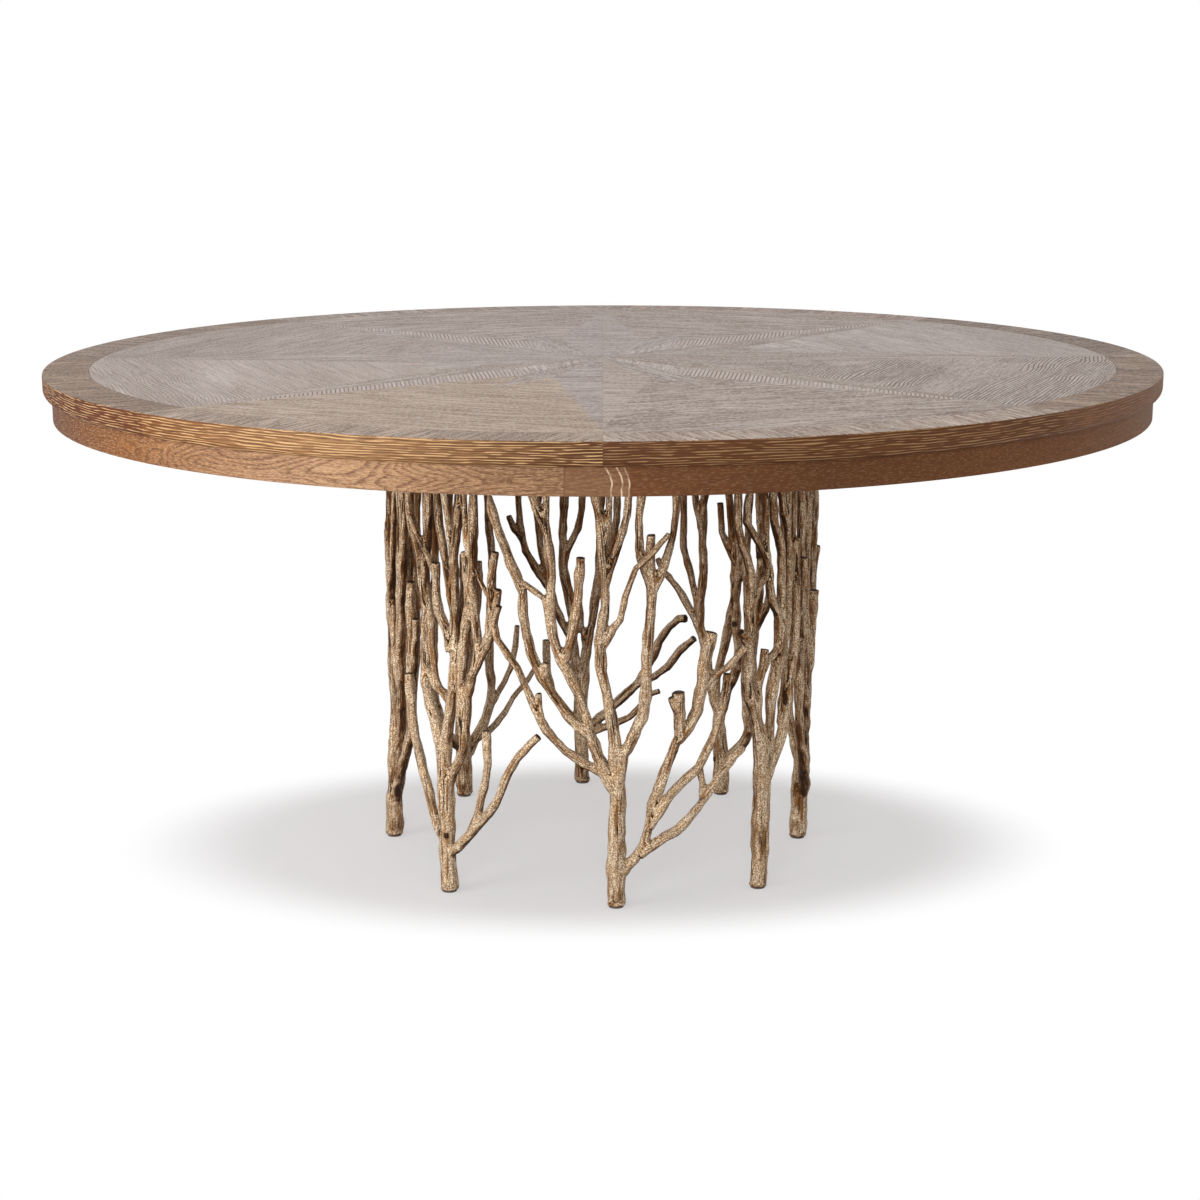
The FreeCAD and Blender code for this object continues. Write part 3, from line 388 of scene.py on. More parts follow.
# Each field: pale tone, dark tone, ring levels, share of the rings, fineness and share of the fibres.
FIELDS = (
    ((202, 187, 177), (118, 96, 80), 44.0, 0.50, 1.0, 1.0),
    ((203, 190, 182), (122, 101, 86), 24.0, 0.34, 2.3, 0.7),
    ((206, 194, 188), (128, 108, 96), 18.0, 0.26, 1.6, 0.7),
    ((203, 189, 180), (122, 102, 86), 26.0, 0.40, 0.8, 1.0),
    ((202, 188, 181), (121, 102, 88), 34.0, 0.46, 0.8, 1.0),
    ((196, 180, 172), (118, 97, 84), 20.0, 0.28, 1.6, 0.75),
    ((207, 192, 184), (126, 105, 91), 16.0, 0.26, 2.3, 0.6),
    ((209, 188, 168), (134, 107, 82), 38.0, 0.42, 1.0, 0.95),
)
FIELD_PORES = 0.6
FIELD_CLOUDS = 0.38
LIME_TONE = chart(206, 196, 190)
TOP_ROUGHNESS = 0.55
OAK_SHEEN = 0.18
CHORD_REACH = 0.6853
STRIP_SHIFT = 0.83
SEAM_HALF = 0.0005
LINED_FIELDS = {0: 0.2, 1: 1.0, 2: 0.3, 5: 0.3, 6: 0.4}
LINE_TONE = chart(88, 70, 58)
LINE_STEP = 0.0054
LINE_TURNS = 9.0
LINE_WANDER = (5.0, 10.0, 10.0)
STRETCH_PULL = (3.2, 6.5, 6.5)
OUTER_STRIP = (0.60, 0.66)


def sector_line(index):
    """The angle by which coordinates turn so that x runs across the field and -y outwards."""
    return -(index + 0.5) * EIGHTH


def seam_shadow(bench, distance, half=SEAM_HALF):
    """1 in a joint and 0 away from it. The distance is to the middle of the joint."""
    return bench.cut(bench.sums("ABSOLUTE", distance), half, 2.2 * half, 1.0, 0.0)


def waxed(bench, colour, figure, roughness=TOP_ROUGHNESS):
    """Dull wax over brushed grain."""
    relief = oak_relief(bench, figure)
    return bench.finish(Base_Color=colour, Roughness=roughness, Specular_IOR_Level=OAK_SHEEN, Normal=relief)


def dress(node, material):
    """Gives a node of the frame its finish."""
    for slot in nodes[node].material_slots:
        slot.material = material


def coarse_lines(bench, along, seed):
    """Late wood that stands in thin dark lines in the outer strip, and in a few stretches elsewhere."""
    place = bench.vector("ADD", along, (seed * 0.9, 0.0, seed))
    wander = bench.pulled(place, LINE_WANDER, 1.0)
    lines = bench.cut(bench.waves(bench.split(along)[1], LINE_STEP, wander, LINE_TURNS), 0.45, 0.9)
    stretch = bench.cut(bench.pulled(place, STRETCH_PULL, 1.0), 0.50, 0.58)
    return bench.times(lines, bench.largest(stretch, bench.cut(bench.from_axis(along), *OUTER_STRIP)))


def field_finish(index):
    pale, dark, ring_levels, ring_share, fineness, fibre_share = FIELDS[index]
    bench = Bench(f"limed_oak_field_{index + 1}")
    along = bench.turn(bench.object_place(), sector_line(index))
    outwards = bench.split(along)[1]
    strip = bench.sums("GREATER_THAN", bench.times(outwards, -1.0), CHORD_REACH)
    shifted = bench.vector("ADD", along, bench.join(bench.times(strip, STRIP_SHIFT), 0.0, 0.0))
    figure = oak_figure(bench, shifted, 1.0 + index, ring_levels, RING_PULL, fineness)
    shares = (ring_share, fibre_share, FIELD_PORES, FIELD_CLOUDS)
    colour = oak_colour(bench, figure, chart(*pale), chart(*dark), LIME_TONE, shares)
    if index in LINED_FIELDS:
        lines = coarse_lines(bench, shifted, 3.0 + index)
        colour = bench.tint(colour, LINE_TONE, lines, LINED_FIELDS[index])
    seam = seam_shadow(bench, bench.sums("ADD", outwards, CHORD_REACH))
    return waxed(bench, bench.tint(colour, SEAM_TONE, seam, 0.4), figure)


for index in range(8):
    dress(f"field_lamella_{index + 1}", field_finish(index))
print("fields finished", 8)

# %% [markdown]
# The star is sixteen kites, each split down its middle into a pale and a dark half, so that it looks
# folded. One node holds eight such halves, so the finish finds its arm: it rounds the angle round the
# middle to the nearest arm and turns the coordinates back by that. The four straight arms have their grain
# from left to right, and the slanted arms along the arm, except in the pale halves of the long ones. There
# it runs from front to back, like the barbs of a feather, and from the shoulder outwards the late wood
# shows as fine stripes.

# %% Star
BORDER_INNER = 0.771
LONG_TIP = 0.962 * BORDER_INNER
SHORT_TIP = 0.471 * BORDER_INNER
SHOULDER = 0.326 * BORDER_INNER
SHOULDER_TURN = math.radians(16.3)
SHORT_TURN = EIGHTH / 2 - SHOULDER_TURN
STAR_RINGS = 18.0
STAR_DARK = chart(92, 68, 50)
STAR_PALE = chart(232, 224, 220)
STRIPE_STEP = 0.0062
STRIPE_LEAN = 0.12
STRIPE_WANDER = 0.002
STRIPE_START = 0.17
STRIPE_PALE = chart(200, 186, 180)
STRIPE_DARK = chart(128, 106, 92)


def round_the_middle(bench, place):
    """The angle from the front towards the right, from 0 to a full turn."""
    x, y, z = bench.split(place)
    angle = bench.sums("ARCTAN2", x, bench.times(y, -1.0))
    return bench.sums("MODULO", bench.sums("ADD", angle, math.tau), math.tau)


def arm_place(bench, place, offset):
    """The coordinates turned so that the nearest arm points along -y, and the angle of that arm."""
    angle = bench.sums("SUBTRACT", round_the_middle(bench, place), offset)
    arm = bench.times_plus(bench.sums("ROUND", bench.sums("DIVIDE", angle, EIGHTH)), EIGHTH, offset)
    return bench.turn(place, bench.times(arm, -1.0)), arm


def kite_seams(bench, local, tip, half_turn):
    """1 on the middle joint and on both edges of a kite."""
    x, y, z = bench.split(local)
    across = bench.sums("ABSOLUTE", x)
    shoulder_x = SHOULDER * math.sin(half_turn)
    shoulder_y = -SHOULDER * math.cos(half_turn)
    edge = math.hypot(shoulder_x, shoulder_y + tip)
    tip_line = ((shoulder_y + tip) / edge, -shoulder_x / edge, 0.0)
    middle_line = (math.cos(half_turn), math.sin(half_turn), 0.0)
    to_tip = bench.vector("DOT_PRODUCT", bench.join(across, bench.sums("ADD", y, tip), 0.0), tip_line)
    to_middle = bench.vector("DOT_PRODUCT", bench.join(across, y, 0.0), middle_line)
    nearest = bench.sums("MINIMUM", bench.sums("ABSOLUTE", to_tip), bench.sums("ABSOLUTE", to_middle))
    return seam_shadow(bench, bench.sums("MINIMUM", nearest, across))


def feathered(bench, colour, place, across, slanted, clouds):
    """Fine dark stripes on a paler ground, on the slanted arms from the shoulders outwards."""
    wavy = bench.times_plus(clouds, STRIPE_WANDER, across)
    wave = bench.sums("SINE", bench.times(wavy, math.tau / STRIPE_STEP))
    window = bench.times(slanted, bench.cut(bench.from_axis(place), STRIPE_START, SHOULDER))
    window = bench.times(window, bench.cut(clouds, 0.0, 0.5, 0.55, 1.0))
    colour = bench.tint(colour, STRIPE_PALE, window, 0.6)
    return bench.tint(colour, STRIPE_DARK, bench.cut(wave, -0.2, -0.75), window)


def star_finish(name, tip, half_turn, offset, tones, lined):
    bench = Bench("limed_oak_" + name)
    place = bench.object_place()
    local, arm = arm_place(bench, place, offset)
    slanted = bench.cut(bench.sums("ABSOLUTE", bench.sums("SINE", bench.times(arm, 2.0))), 0.3, 0.4)
    x, y, z = bench.split(place)
    aside = bench.sums("ABSOLUTE", x)
    across = bench.times_plus(y, -STRIPE_LEAN, aside)
    leaned = bench.join(bench.times_plus(aside, STRIPE_LEAN, y), across, z)
    lengthwise = leaned if lined else bench.turn(local, math.pi / 2)
    grain = bench.mix(slanted, place, lengthwise, "VECTOR")
    shifted = bench.vector("ADD", grain, bench.join(0.0, 0.0, arm))
    figure = oak_figure(bench, shifted, 21.0 + tip, STAR_RINGS)
    turns = bench.sums("DIVIDE", bench.sums("SUBTRACT", arm, offset), math.tau)
    tone = bench.strip(bench.sums("FRACT", bench.sums("ADD", turns, 0.02)), tones, "CONSTANT")
    pale = bench.mix(0.3, tone, STAR_PALE)
    colour = oak_colour(bench, figure, pale, bench.mix(0.62, tone, STAR_DARK), LIME_TONE)
    if lined:
        colour = feathered(bench, colour, place, across, slanted, figure[3])
    seams = kite_seams(bench, local, tip, half_turn)
    return waxed(bench, bench.tint(colour, SEAM_TONE, seams, 0.16), figure)


STAR_TONES = {
    "long_light": (
        (186, 166, 151), (194, 180, 171), (167, 148, 133), (189, 176, 169),
        (184, 170, 166), (192, 179, 173), (171, 154, 146), (194, 178, 172),
    ),
    "long_dark": (
        (174, 158, 151), (161, 140, 121), (163, 144, 130), (161, 141, 130),
        (180, 166, 163), (172, 156, 147), (174, 158, 150), (171, 153, 138),
    ),
    "short_light": (
        (162, 147, 138), (168, 153, 143), (170, 156, 147), (178, 167, 161),
        (174, 160, 152), (170, 156, 149), (178, 164, 158), (177, 161, 150),
    ),
    "short_dark": (
        (174, 159, 149), (162, 147, 136), (161, 147, 138), (164, 151, 143),
        (176, 163, 156), (168, 154, 148), (174, 160, 154), (162, 147, 136),
    ),
}
for name, tones in STAR_TONES.items():
    is_long = name.startswith("long")
    shape = (LONG_TIP, SHOULDER_TURN, 0.0) if is_long else (SHORT_TIP, SHORT_TURN, EIGHTH / 2)
    dress("star_" + name, star_finish(name, *shape, tones, name == "long_light"))
print("star finished")

# %% [markdown]
# The border is solid oak in eight pieces, and their grain runs outwards. The top face was limed grey, and
# the rounded rim kept its warm brown, so the finish asks the surface which way it faces. On the rim the
# open pores lie level, dark or pale with lime, and a cloud breaks them into dashes. The rim's tone drifts
# along each piece, and the paler middle of the piece at the front left is a painted highlight.

# %% Border and rim
# Each border piece: pale tone and dark tone.
BORDER_TONES = (
    ((203, 183, 167), (120, 96, 78)), ((176, 147, 120), (78, 50, 31)), ((174, 149, 128), (72, 48, 32)),
    ((200, 177, 165), (112, 88, 72)), ((202, 185, 175), (118, 97, 85)), ((182, 158, 138), (86, 62, 46)),
    ((188, 159, 131), (86, 58, 36)), ((195, 172, 153), (111, 86, 66)),
)
BORDER_RINGS = 16.0
BORDER_PULL = (3.0, 11.0, 11.0)
BORDER_FINENESS = 1.2
FRONT_SHARES = (0.3, 0.9, 0.4, 0.6)
BORDER_SHARES = (0.35, 0.95, 0.35, 0.5)
BORDER_SEAM_TONE = chart(80, 58, 42)
BUTT_HALF = 0.0003
# Each rim piece: its tone at the start, in the middle and at the end, and how much lime stayed.
# The pale middle of the eighth piece is a painted highlight.
RIM_TONES_AND_HIGHLIGHT = (
    ((92, 53, 24), (98, 60, 30), (110, 70, 41), 0.36), ((118, 77, 49), (136, 94, 62), (132, 90, 60), 0.2),
    (*[(122, 84, 58)] * 3, 0.5), (*[(124, 84, 54)] * 3, 0.6),
    (*[(124, 84, 54)] * 3, 0.6), (*[(120, 80, 48)] * 3, 0.7),
    ((110, 56, 10), (86, 36, 2), (100, 48, 5), 0.7), ((122, 72, 24), (166, 124, 82), (88, 49, 20), 0.8),
)
RIM_DARK = chart(58, 31, 13)
RIM_LIME = chart(224, 182, 128)
RIM_SHARES = (0.1, 0.1, 0.0, 0.06)
RIM_RADIUS = cad_bounds[1][0]
RIM_ROUGHNESS = 0.52
GROOVE_STEP = 0.0035
GROOVE_TURNS = 3.6
GROOVE_WANDER = (6.0, 1.0, 42.0)
DASH_BREAKS = (34.0, 1.0, 460.0)


def unrolled(bench, place, radius, start=0.0):
    """The ring laid out flat: the way round from a start, the distance from the middle, the height."""
    turned = bench.sums("ADD", round_the_middle(bench, place), math.tau - start)
    way_round = bench.times(bench.sums("MODULO", turned, math.tau), radius)
    return bench.join(way_round, bench.from_axis(place), bench.split(place)[2])


def rim_colour(bench, band, index):
    """Brown oak with level dashes, dark where the pores are open and pale where lime stayed in them."""
    *tones, liming = RIM_TONES_AND_HIGHLIGHT[index]
    figure = oak_figure(bench, band, 51.0 + index, 14.0)
    travel = bench.sums("FRACT", bench.sums("DIVIDE", bench.split(band)[0], RIM_RADIUS * EIGHTH))
    # The eighth piece's pale middle in this strip is a painted highlight.
    colour = oak_colour(bench, figure, bench.strip(travel, tones), RIM_DARK, RIM_LIME, RIM_SHARES)
    wander = bench.pulled(band, GROOVE_WANDER, 3.0, 0.6)
    wave = bench.waves(bench.split(band)[2], GROOVE_STEP, wander, GROOVE_TURNS)
    breaks = bench.pulled(band, DASH_BREAKS, 1.0)
    open_pores = bench.times(bench.cut(wave, 0.0, -0.8), bench.cut(breaks, 0.62, 0.50, 0.35, 1.0))
    colour = bench.tint(colour, RIM_DARK, open_pores, 0.35 + 0.35 * liming)
    limed = bench.times(bench.cut(wave, 0.25, 0.85), bench.cut(breaks, 0.42, 0.52))
    return bench.tint(colour, RIM_LIME, limed, 0.9 * liming)


def border_finish(index):
    bench = Bench(f"limed_oak_border_{index + 1}")
    place = bench.object_place()
    along = bench.turn(place, sector_line(index))
    outwards = bench.turn(along, math.pi / 2)
    figure = oak_figure(bench, outwards, 41.0 + index, BORDER_RINGS, BORDER_PULL, BORDER_FINENESS)
    pale, dark = BORDER_TONES[index]
    shares = FRONT_SHARES if index in (0, 7) else BORDER_SHARES
    top = oak_colour(bench, figure, chart(*pale), chart(*dark), LIME_TONE, shares)
    rim = rim_colour(bench, unrolled(bench, place, RIM_RADIUS), index)
    is_top = bench.cut(bench.facing_up("True Normal"), 0.5, 0.9)
    x, y, z = bench.split(along)
    half = EIGHTH / 2
    butt_line = (math.cos(half), math.sin(half), 0.0)
    to_butt = bench.vector("DOT_PRODUCT", bench.join(bench.sums("ABSOLUTE", x), y, 0.0), butt_line)
    inner = bench.sums("SUBTRACT", bench.from_axis(along), BORDER_INNER)
    seam = bench.largest(seam_shadow(bench, to_butt, BUTT_HALF), seam_shadow(bench, inner))
    colour = bench.tint(bench.mix(is_top, rim, top), BORDER_SEAM_TONE, seam, 0.35)
    roughness = bench.times_plus(is_top, TOP_ROUGHNESS - RIM_ROUGHNESS, RIM_ROUGHNESS)
    return waxed(bench, colour, figure, roughness)


for index in range(8):
    dress(f"border_piece_{index + 1}", border_finish(index))
print("border finished", 8)

# %% [markdown]
# The apron is bent from long boards, so its grain follows the ring. Its coordinates are unrolled from its
# first seam: the way round the ring is x, the height is z. The growth rings show as long flat bands, and
# the open pores as a fine stipple, strongest in the fourth board. Just right of the seam the first board
# was cut close to a knot: the wood is greyer there, and a few rings of the knot stand upright as thin pale
# arcs.

# %% Apron
APRON_RADIUS = 0.8255
APRON_SEAM = math.radians(-3.2)
APRON_QUARTER = math.tau / 4 * APRON_RADIUS
APRON_SEAM_HALF = 0.0004
# Each apron board: its tone at five even stops. The pale stretch near the end of the fourth board, at the
# front left, is a painted highlight.
APRON_TONES_AND_HIGHLIGHT = (
    ((112, 67, 30), (90, 54, 24), (114, 70, 35), (136, 90, 50), (112, 66, 26)),
    ((124, 86, 62), (128, 88, 60), (126, 86, 58), (124, 84, 54), (124, 84, 54)),
    ((124, 84, 54), (126, 86, 58), (124, 84, 54), (120, 80, 46), (112, 74, 42)),
    ((92, 48, 10), (82, 40, 6), (140, 89, 42), (188, 148, 110), (146, 110, 78)),
)
APRON_DARK = chart(84, 46, 24)
APRON_LIME = chart(206, 172, 132)
APRON_PULL = (3.6, 1.0, 17.0)
APRON_RINGS = (40.0, 40.0, 40.0, 74.0)
APRON_LINED = (0.3, 0.4, 0.4, 0.62)
STIPPLE_PULL = (150.0, 1.0, 820.0)
STIPPLE_SHARES = (0.12, 0.12, 0.12, 0.34)
KNOT_TONE = chart(132, 95, 64)
KNOT_REACH = (0.062, 0.067)
ARC_TONE = chart(214, 190, 160)
ARC_MIDDLE = (0.016, APRON_RADIUS, 0.722)
ARC_REACHES = (0.0435, 0.0560, 0.0645)
ARC_WANDER = 0.007
ARC_HALF = 0.0006


def knot_arcs(bench, band, figure):
    """Thin arcs round a knot that lies left of them, and the share of the greyer wood inside them."""
    away = bench.vector("MULTIPLY", bench.vector("SUBTRACT", band, ARC_MIDDLE), (1.0, 0.0, 0.9))
    reach = bench.times_plus(figure[3], ARC_WANDER, bench.vector("LENGTH", away))
    arcs = [seam_shadow(bench, bench.sums("SUBTRACT", reach, stop), ARC_HALF) for stop in ARC_REACHES]
    drawn = bench.times(bench.largest(*arcs), bench.cut(bench.cloud(band, 90.0), 0.38, 0.52, 0.3, 0.8))
    right_of = bench.cut(bench.split(away)[0], 0.0, 0.01)
    return bench.times(drawn, right_of), bench.cut(reach, *KNOT_REACH, 1.0, 0.0)


def apron_finish(index):
    bench = Bench(f"limed_oak_apron_{index + 1}")
    band = unrolled(bench, bench.object_place(), APRON_RADIUS, APRON_SEAM)
    figure = oak_figure(bench, band, 61.0 + index, APRON_RINGS[index], APRON_PULL)
    travel = bench.sums("FRACT", bench.sums("DIVIDE", bench.split(band)[0], APRON_QUARTER))
    # The fourth board's pale stretch near its end is a painted highlight.
    tone = bench.strip(travel, APRON_TONES_AND_HIGHLIGHT[index])
    if index == 0:
        arcs, inside = knot_arcs(bench, band, figure)
        tone = bench.mix(inside, tone, KNOT_TONE)
    colour = oak_colour(bench, figure, tone, APRON_DARK, APRON_LIME, (APRON_LINED[index], 0.25, 0.0, 0.2))
    dashes = bench.pulled(band, STIPPLE_PULL, 1.0, 0.6)
    stipple = STIPPLE_SHARES[index]
    colour = bench.mix(bench.cut(dashes, 0.47, 0.38, 0.0, stipple), colour, APRON_DARK)
    colour = bench.mix(bench.cut(dashes, 0.54, 0.64, 0.0, stipple), colour, APRON_LIME)
    if index == 0:
        colour = bench.mix(arcs, colour, ARC_TONE)
    to_seam = bench.sums("PINGPONG", bench.split(band)[0], APRON_QUARTER / 2)
    seam = seam_shadow(bench, to_seam, APRON_SEAM_HALF)
    return waxed(bench, bench.tint(colour, APRON_DARK, seam, 0.5), figure, RIM_ROUGHNESS)


for index in range(4):
    dress(f"apron_piece_{index + 1}", apron_finish(index))
print("apron finished", 4)

# %% [markdown]
# Under the top nothing is limed. The core is plywood, so its edge shows thin layers of light and dark
# veneer. Tongues, keys, cleats and blocks are plain beech with short dark flecks.

# %% Core board, tongues, keys, cleats and blocks
PLY_LAYER = 0.0015
PLY_TONES = ((206, 186, 154), (170, 140, 104), (226, 210, 184))
VENEER_PALE = chart(190, 162, 122)
VENEER_DARK = chart(128, 92, 60)
BEECH_SHARES = (0.35, 0.4, 0.5, 0.3)


def beech_finish(name, pale, dark, seed):
    bench = Bench(name)
    figure = oak_figure(bench, bench.object_place(), seed, 16.0)
    colour = oak_colour(bench, figure, chart(*pale), chart(*dark), chart(*dark), BEECH_SHARES)
    return bench.finish(Base_Color=colour, Roughness=0.62, Normal=oak_relief(bench, figure))


def plywood_finish():
    bench = Bench("birch_plywood")
    place = bench.object_place()
    figure = oak_figure(bench, place, 81.0, 22.0)
    face = oak_colour(bench, figure, *(chart(*tone) for tone in PLY_TONES))
    layer = bench.sums("SINE", bench.times(bench.split(place)[2], math.pi / PLY_LAYER))
    edge = bench.mix(bench.cut(layer, -0.3, 0.3), VENEER_PALE, VENEER_DARK)
    is_face = bench.cut(bench.sums("ABSOLUTE", bench.facing_up("True Normal")), 0.4, 0.8)
    colour = bench.mix(is_face, edge, face)
    return bench.finish(Base_Color=colour, Roughness=0.6, Normal=oak_relief(bench, figure))


dress("top_core", plywood_finish())
plain_beech = beech_finish("planed_beech", (204, 174, 138), (168, 128, 90), 91.0)
for node in ("border_keys", "border_tongues", "apron_blocks"):
    dress(node, plain_beech)
cleat_beech = beech_finish("cleat_beech", (196, 168, 134), (158, 122, 88), 97.0)
for index in range(8):
    dress(f"cleat_{index + 1}", cleat_beech)
print("hidden wood finished")

# %% [markdown]
# The head plates are steel under black paint. Bolts, washers and screws are zinc plated, which is never
# even: it clouds from blue to yellow. The threaded inserts are turned brass. The glides are brown nylon,
# scuffed paler in places.

# %% Plates, bolts, screws, inserts and glides
WORN_SHARE = 0.4


def coat_finish(name, tone, worn, scale, metallic, roughness):
    """A coat or plating: one tone that clouds into another, with fine unevenness in gloss and height."""
    bench = Bench(name)
    place = bench.object_place()
    clouds = bench.cut(bench.cloud(place, scale, 4.0, 0.6), 0.35, 0.7)
    skin = bench.cloud(place, 40.0 * scale)
    colour = bench.tint(chart(*tone), chart(*worn), clouds, WORN_SHARE)
    gloss = bench.times_plus(skin, 0.2, roughness - 0.1)
    relief = bench.bump(skin, 0.0001)
    return bench.finish(Base_Color=colour, Roughness=gloss, Metallic=metallic, Normal=relief)


SAPLINGS = ("front", "front_right", "right", "back_right", "back", "back_left", "left", "front_left")
black_paint = coat_finish("black_painted_steel", (34, 32, 31), (70, 64, 60), 30.0, 0.0, 0.5)
for side in SAPLINGS:
    dress("head_plate_" + side, black_paint)
zinc = coat_finish("zinc_plate", (196, 199, 204), (206, 196, 160), 90.0, 1.0, 0.34)
for node in ("plate_bolts", "plate_washers", "block_screws", "cleat_screws", "glide_pins"):
    dress(node, zinc)
dress("thread_inserts", coat_finish("turned_brass", (206, 168, 92), (160, 120, 60), 120.0, 1.0, 0.36))
dress("foot_glides", coat_finish("scuffed_nylon", (84, 74, 66), (120, 110, 100), 160.0, 0.0, 0.5))
print("hardware finished")

# %% [markdown]
# Each sapling was cast in metal from a wax pattern. The frame's rods are smooth and meet at sharp creases.
# A pattern maker would fillet the forks with wax, comb ridges along the branch, press in a few knots and
# leave the ends as sawn. The same is done here: the joined rods are wrapped in one closed skin of small
# even squares, which is smoothed, and hollows are filled more than ridges are worn, which grows the
# fillets. The branch runs in the direction in which the skin doesn't turn, and random dents that are
# smeared along it become ridges. The way the skin faces, times the branch's radius, stays the same along a
# branch and changes round it, so it is kept as a coordinate in which brush strokes run lengthwise.

# %% Tools for the skin
SMALLEST_END = 0.00003
SAME_POINT = 0.00002


def flat_ends(rods):
    """The middle, the direction and the radius of every flat end of the rods."""
    planes = {}
    for face in rods.faces:
        offset = face.normal.dot(face.verts[0].co) * 1000
        planes.setdefault((*(round(part, 2) for part in face.normal), round(offset)), []).append(face)
    ends = []
    for faces in planes.values():
        area = sum(face.calc_area() for face in faces)
        if len(faces) >= 5 and area > SMALLEST_END:
            middle = sum((face.calc_center_median() * face.calc_area() for face in faces), Vector()) / area
            ends.append((np.array(middle), np.array(faces[0].normal), math.sqrt(area / math.pi)))
    return ends


def skin_of(node, voxel):
    """One closed even skin round the rods of a node, as a fresh mesh, and the rods' flat ends."""
    rods = bmesh.new()
    rods.from_mesh(nodes[node].data)
    bmesh.ops.remove_doubles(rods, verts=rods.verts, dist=SAME_POINT)
    bmesh.ops.transform(rods, matrix=nodes[node].matrix_world, verts=rods.verts)
    rods.normal_update()
    ends = flat_ends(rods)
    merged = bpy.data.meshes.new(node + "_rods")
    rods.to_mesh(merged)
    rods.free()
    holder = new_object(node + "_rods", merged)
    wrap = holder.modifiers.new("wrap", "REMESH")
    wrap.mode = "VOXEL"
    wrap.voxel_size = voxel
    wrap.adaptivity = 0.0
    graph = bpy.context.evaluated_depsgraph_get()
    skin = bpy.data.meshes.new_from_object(holder.evaluated_get(graph))
    bpy.data.objects.remove(holder)
    bpy.data.meshes.remove(merged)
    return skin, ends


def read_skin(mesh):
    """The points of a skin, its squares, and their edges and diagonals as pairs of points."""
    points = np.empty(len(mesh.vertices) * 3)
    mesh.vertices.foreach_get("co", points)
    corners = np.empty(len(mesh.loops), dtype=np.int64)
    mesh.loops.foreach_get("vertex_index", corners)
    quads = corners.reshape(-1, 4)
    edges = np.concatenate([quads[:, [0, 1]], quads[:, [1, 2]], quads[:, [2, 3]], quads[:, [3, 0]]])
    edges = np.unique(np.sort(edges, axis=1), axis=0)
    crosses = np.concatenate([quads[:, [0, 2]], quads[:, [1, 3]]])
    return points.reshape(-1, 3), quads, edges, crosses


def neighbours(pairs, count):
    """The neighbours of every point, padded with the point itself, and a mask of the real ones."""
    both = np.concatenate([pairs, pairs[:, ::-1]])
    both = both[np.argsort(both[:, 0], kind="stable")]
    starts = np.searchsorted(both[:, 0], np.arange(count))
    ranks = np.arange(len(both)) - starts[both[:, 0]]
    width = int(ranks.max()) + 1
    table = np.repeat(np.arange(count)[:, None], width, axis=1)
    mask = np.zeros((count, width), dtype=np.float32)
    table[both[:, 0], ranks] = both[:, 1]
    mask[both[:, 0], ranks] = 1.0
    return table, mask


def spread_over(values, table, weights, passes):
    """Averages values over the neighbours again and again."""
    share = (0.5 * weights / weights.sum(axis=1, keepdims=True)).astype(np.float32)
    values = values.astype(np.float32)
    for step in range(passes):
        values = 0.5 * values + np.einsum("vk,vk...->v...", share, values[table])
    return values.astype(np.float64)


def point_normals(points, quads):
    """Normals of the skin at its points."""
    first = points[quads[:, 2]] - points[quads[:, 0]]
    second = points[quads[:, 3]] - points[quads[:, 1]]
    faces = np.cross(first, second)
    normals = np.zeros_like(points)
    for corner in range(4):
        np.add.at(normals, quads[:, corner], faces)
    return normals / np.maximum(np.linalg.norm(normals, axis=1, keepdims=True), 1e-12)


def heights(offsets, normals):
    """How far offsets reach along the normals."""
    return np.einsum("vc,vc->v", offsets, normals)


def evened(values):
    """Values shifted and scaled to a mean of 0 and a spread of 1."""
    return (values - values.mean()) / max(values.std(), 1e-9)


print("skin tools ready")

# %% [markdown]
# The bark is measured by the branch. Combed ridges rise by a tenth of its radius, finer ridges and soft
# lumps by a few hundredths, and each sapling has three knots as wide as a finger. Sawn ends stay flat, and
# so do the top and the foot.

# %% Bark
SKIN_VOXEL = 0.00173
FIRST_SEED = 410
EVEN_PASSES = 8
EVEN_PULLS = (0.6, -0.62)
FILL_PASSES = 14
FILL_PULL = 0.6
RIDGE_KEEP = 0.92
HOLLOW_FILL = -0.35
REGROW_PASSES = 2
BEND_PASSES = 6
THINNEST = 0.003
THICKEST = 0.014
RIDGE_SHARE = 0.10
FINE_SHARE = 0.03
LUMP_SHARE = 0.03
SMEAR_POWER = 10
END_REACH = 0.003
KNOT_COUNT = 3
KNOT_RADIUS = 0.007
KNOT_HEIGHT = 0.0009
HOLLOW_SCALE = 0.001
FORK_SCALE = 0.004


def even_skin(points, quads, table, mask):
    """Takes the steps of the wrapping out of the skin, fills the forks and gives back what was worn off."""
    share = mask / mask.sum(axis=1, keepdims=True)
    wrapped = points
    for step in range(EVEN_PASSES):
        for pull in EVEN_PULLS:
            points = points + pull * (np.einsum("vk,vkc->vc", share, points[table]) - points)
    for step in range(FILL_PASSES):
        normals = point_normals(points, quads)
        offset = np.einsum("vk,vkc->vc", share, points[table]) - points
        outward = heights(offset, normals)
        keep = np.where(outward < 0.0, RIDGE_KEEP, HOLLOW_FILL)
        points = points + FILL_PULL * (offset - normals * (outward * keep)[:, None])
    for step in range(REGROW_PASSES):
        normals = point_normals(points, quads)
        worn = spread_over(heights(wrapped - points, normals), table, mask, 12)
        points = points + normals * np.maximum(worn, 0.0)[:, None]
    return points


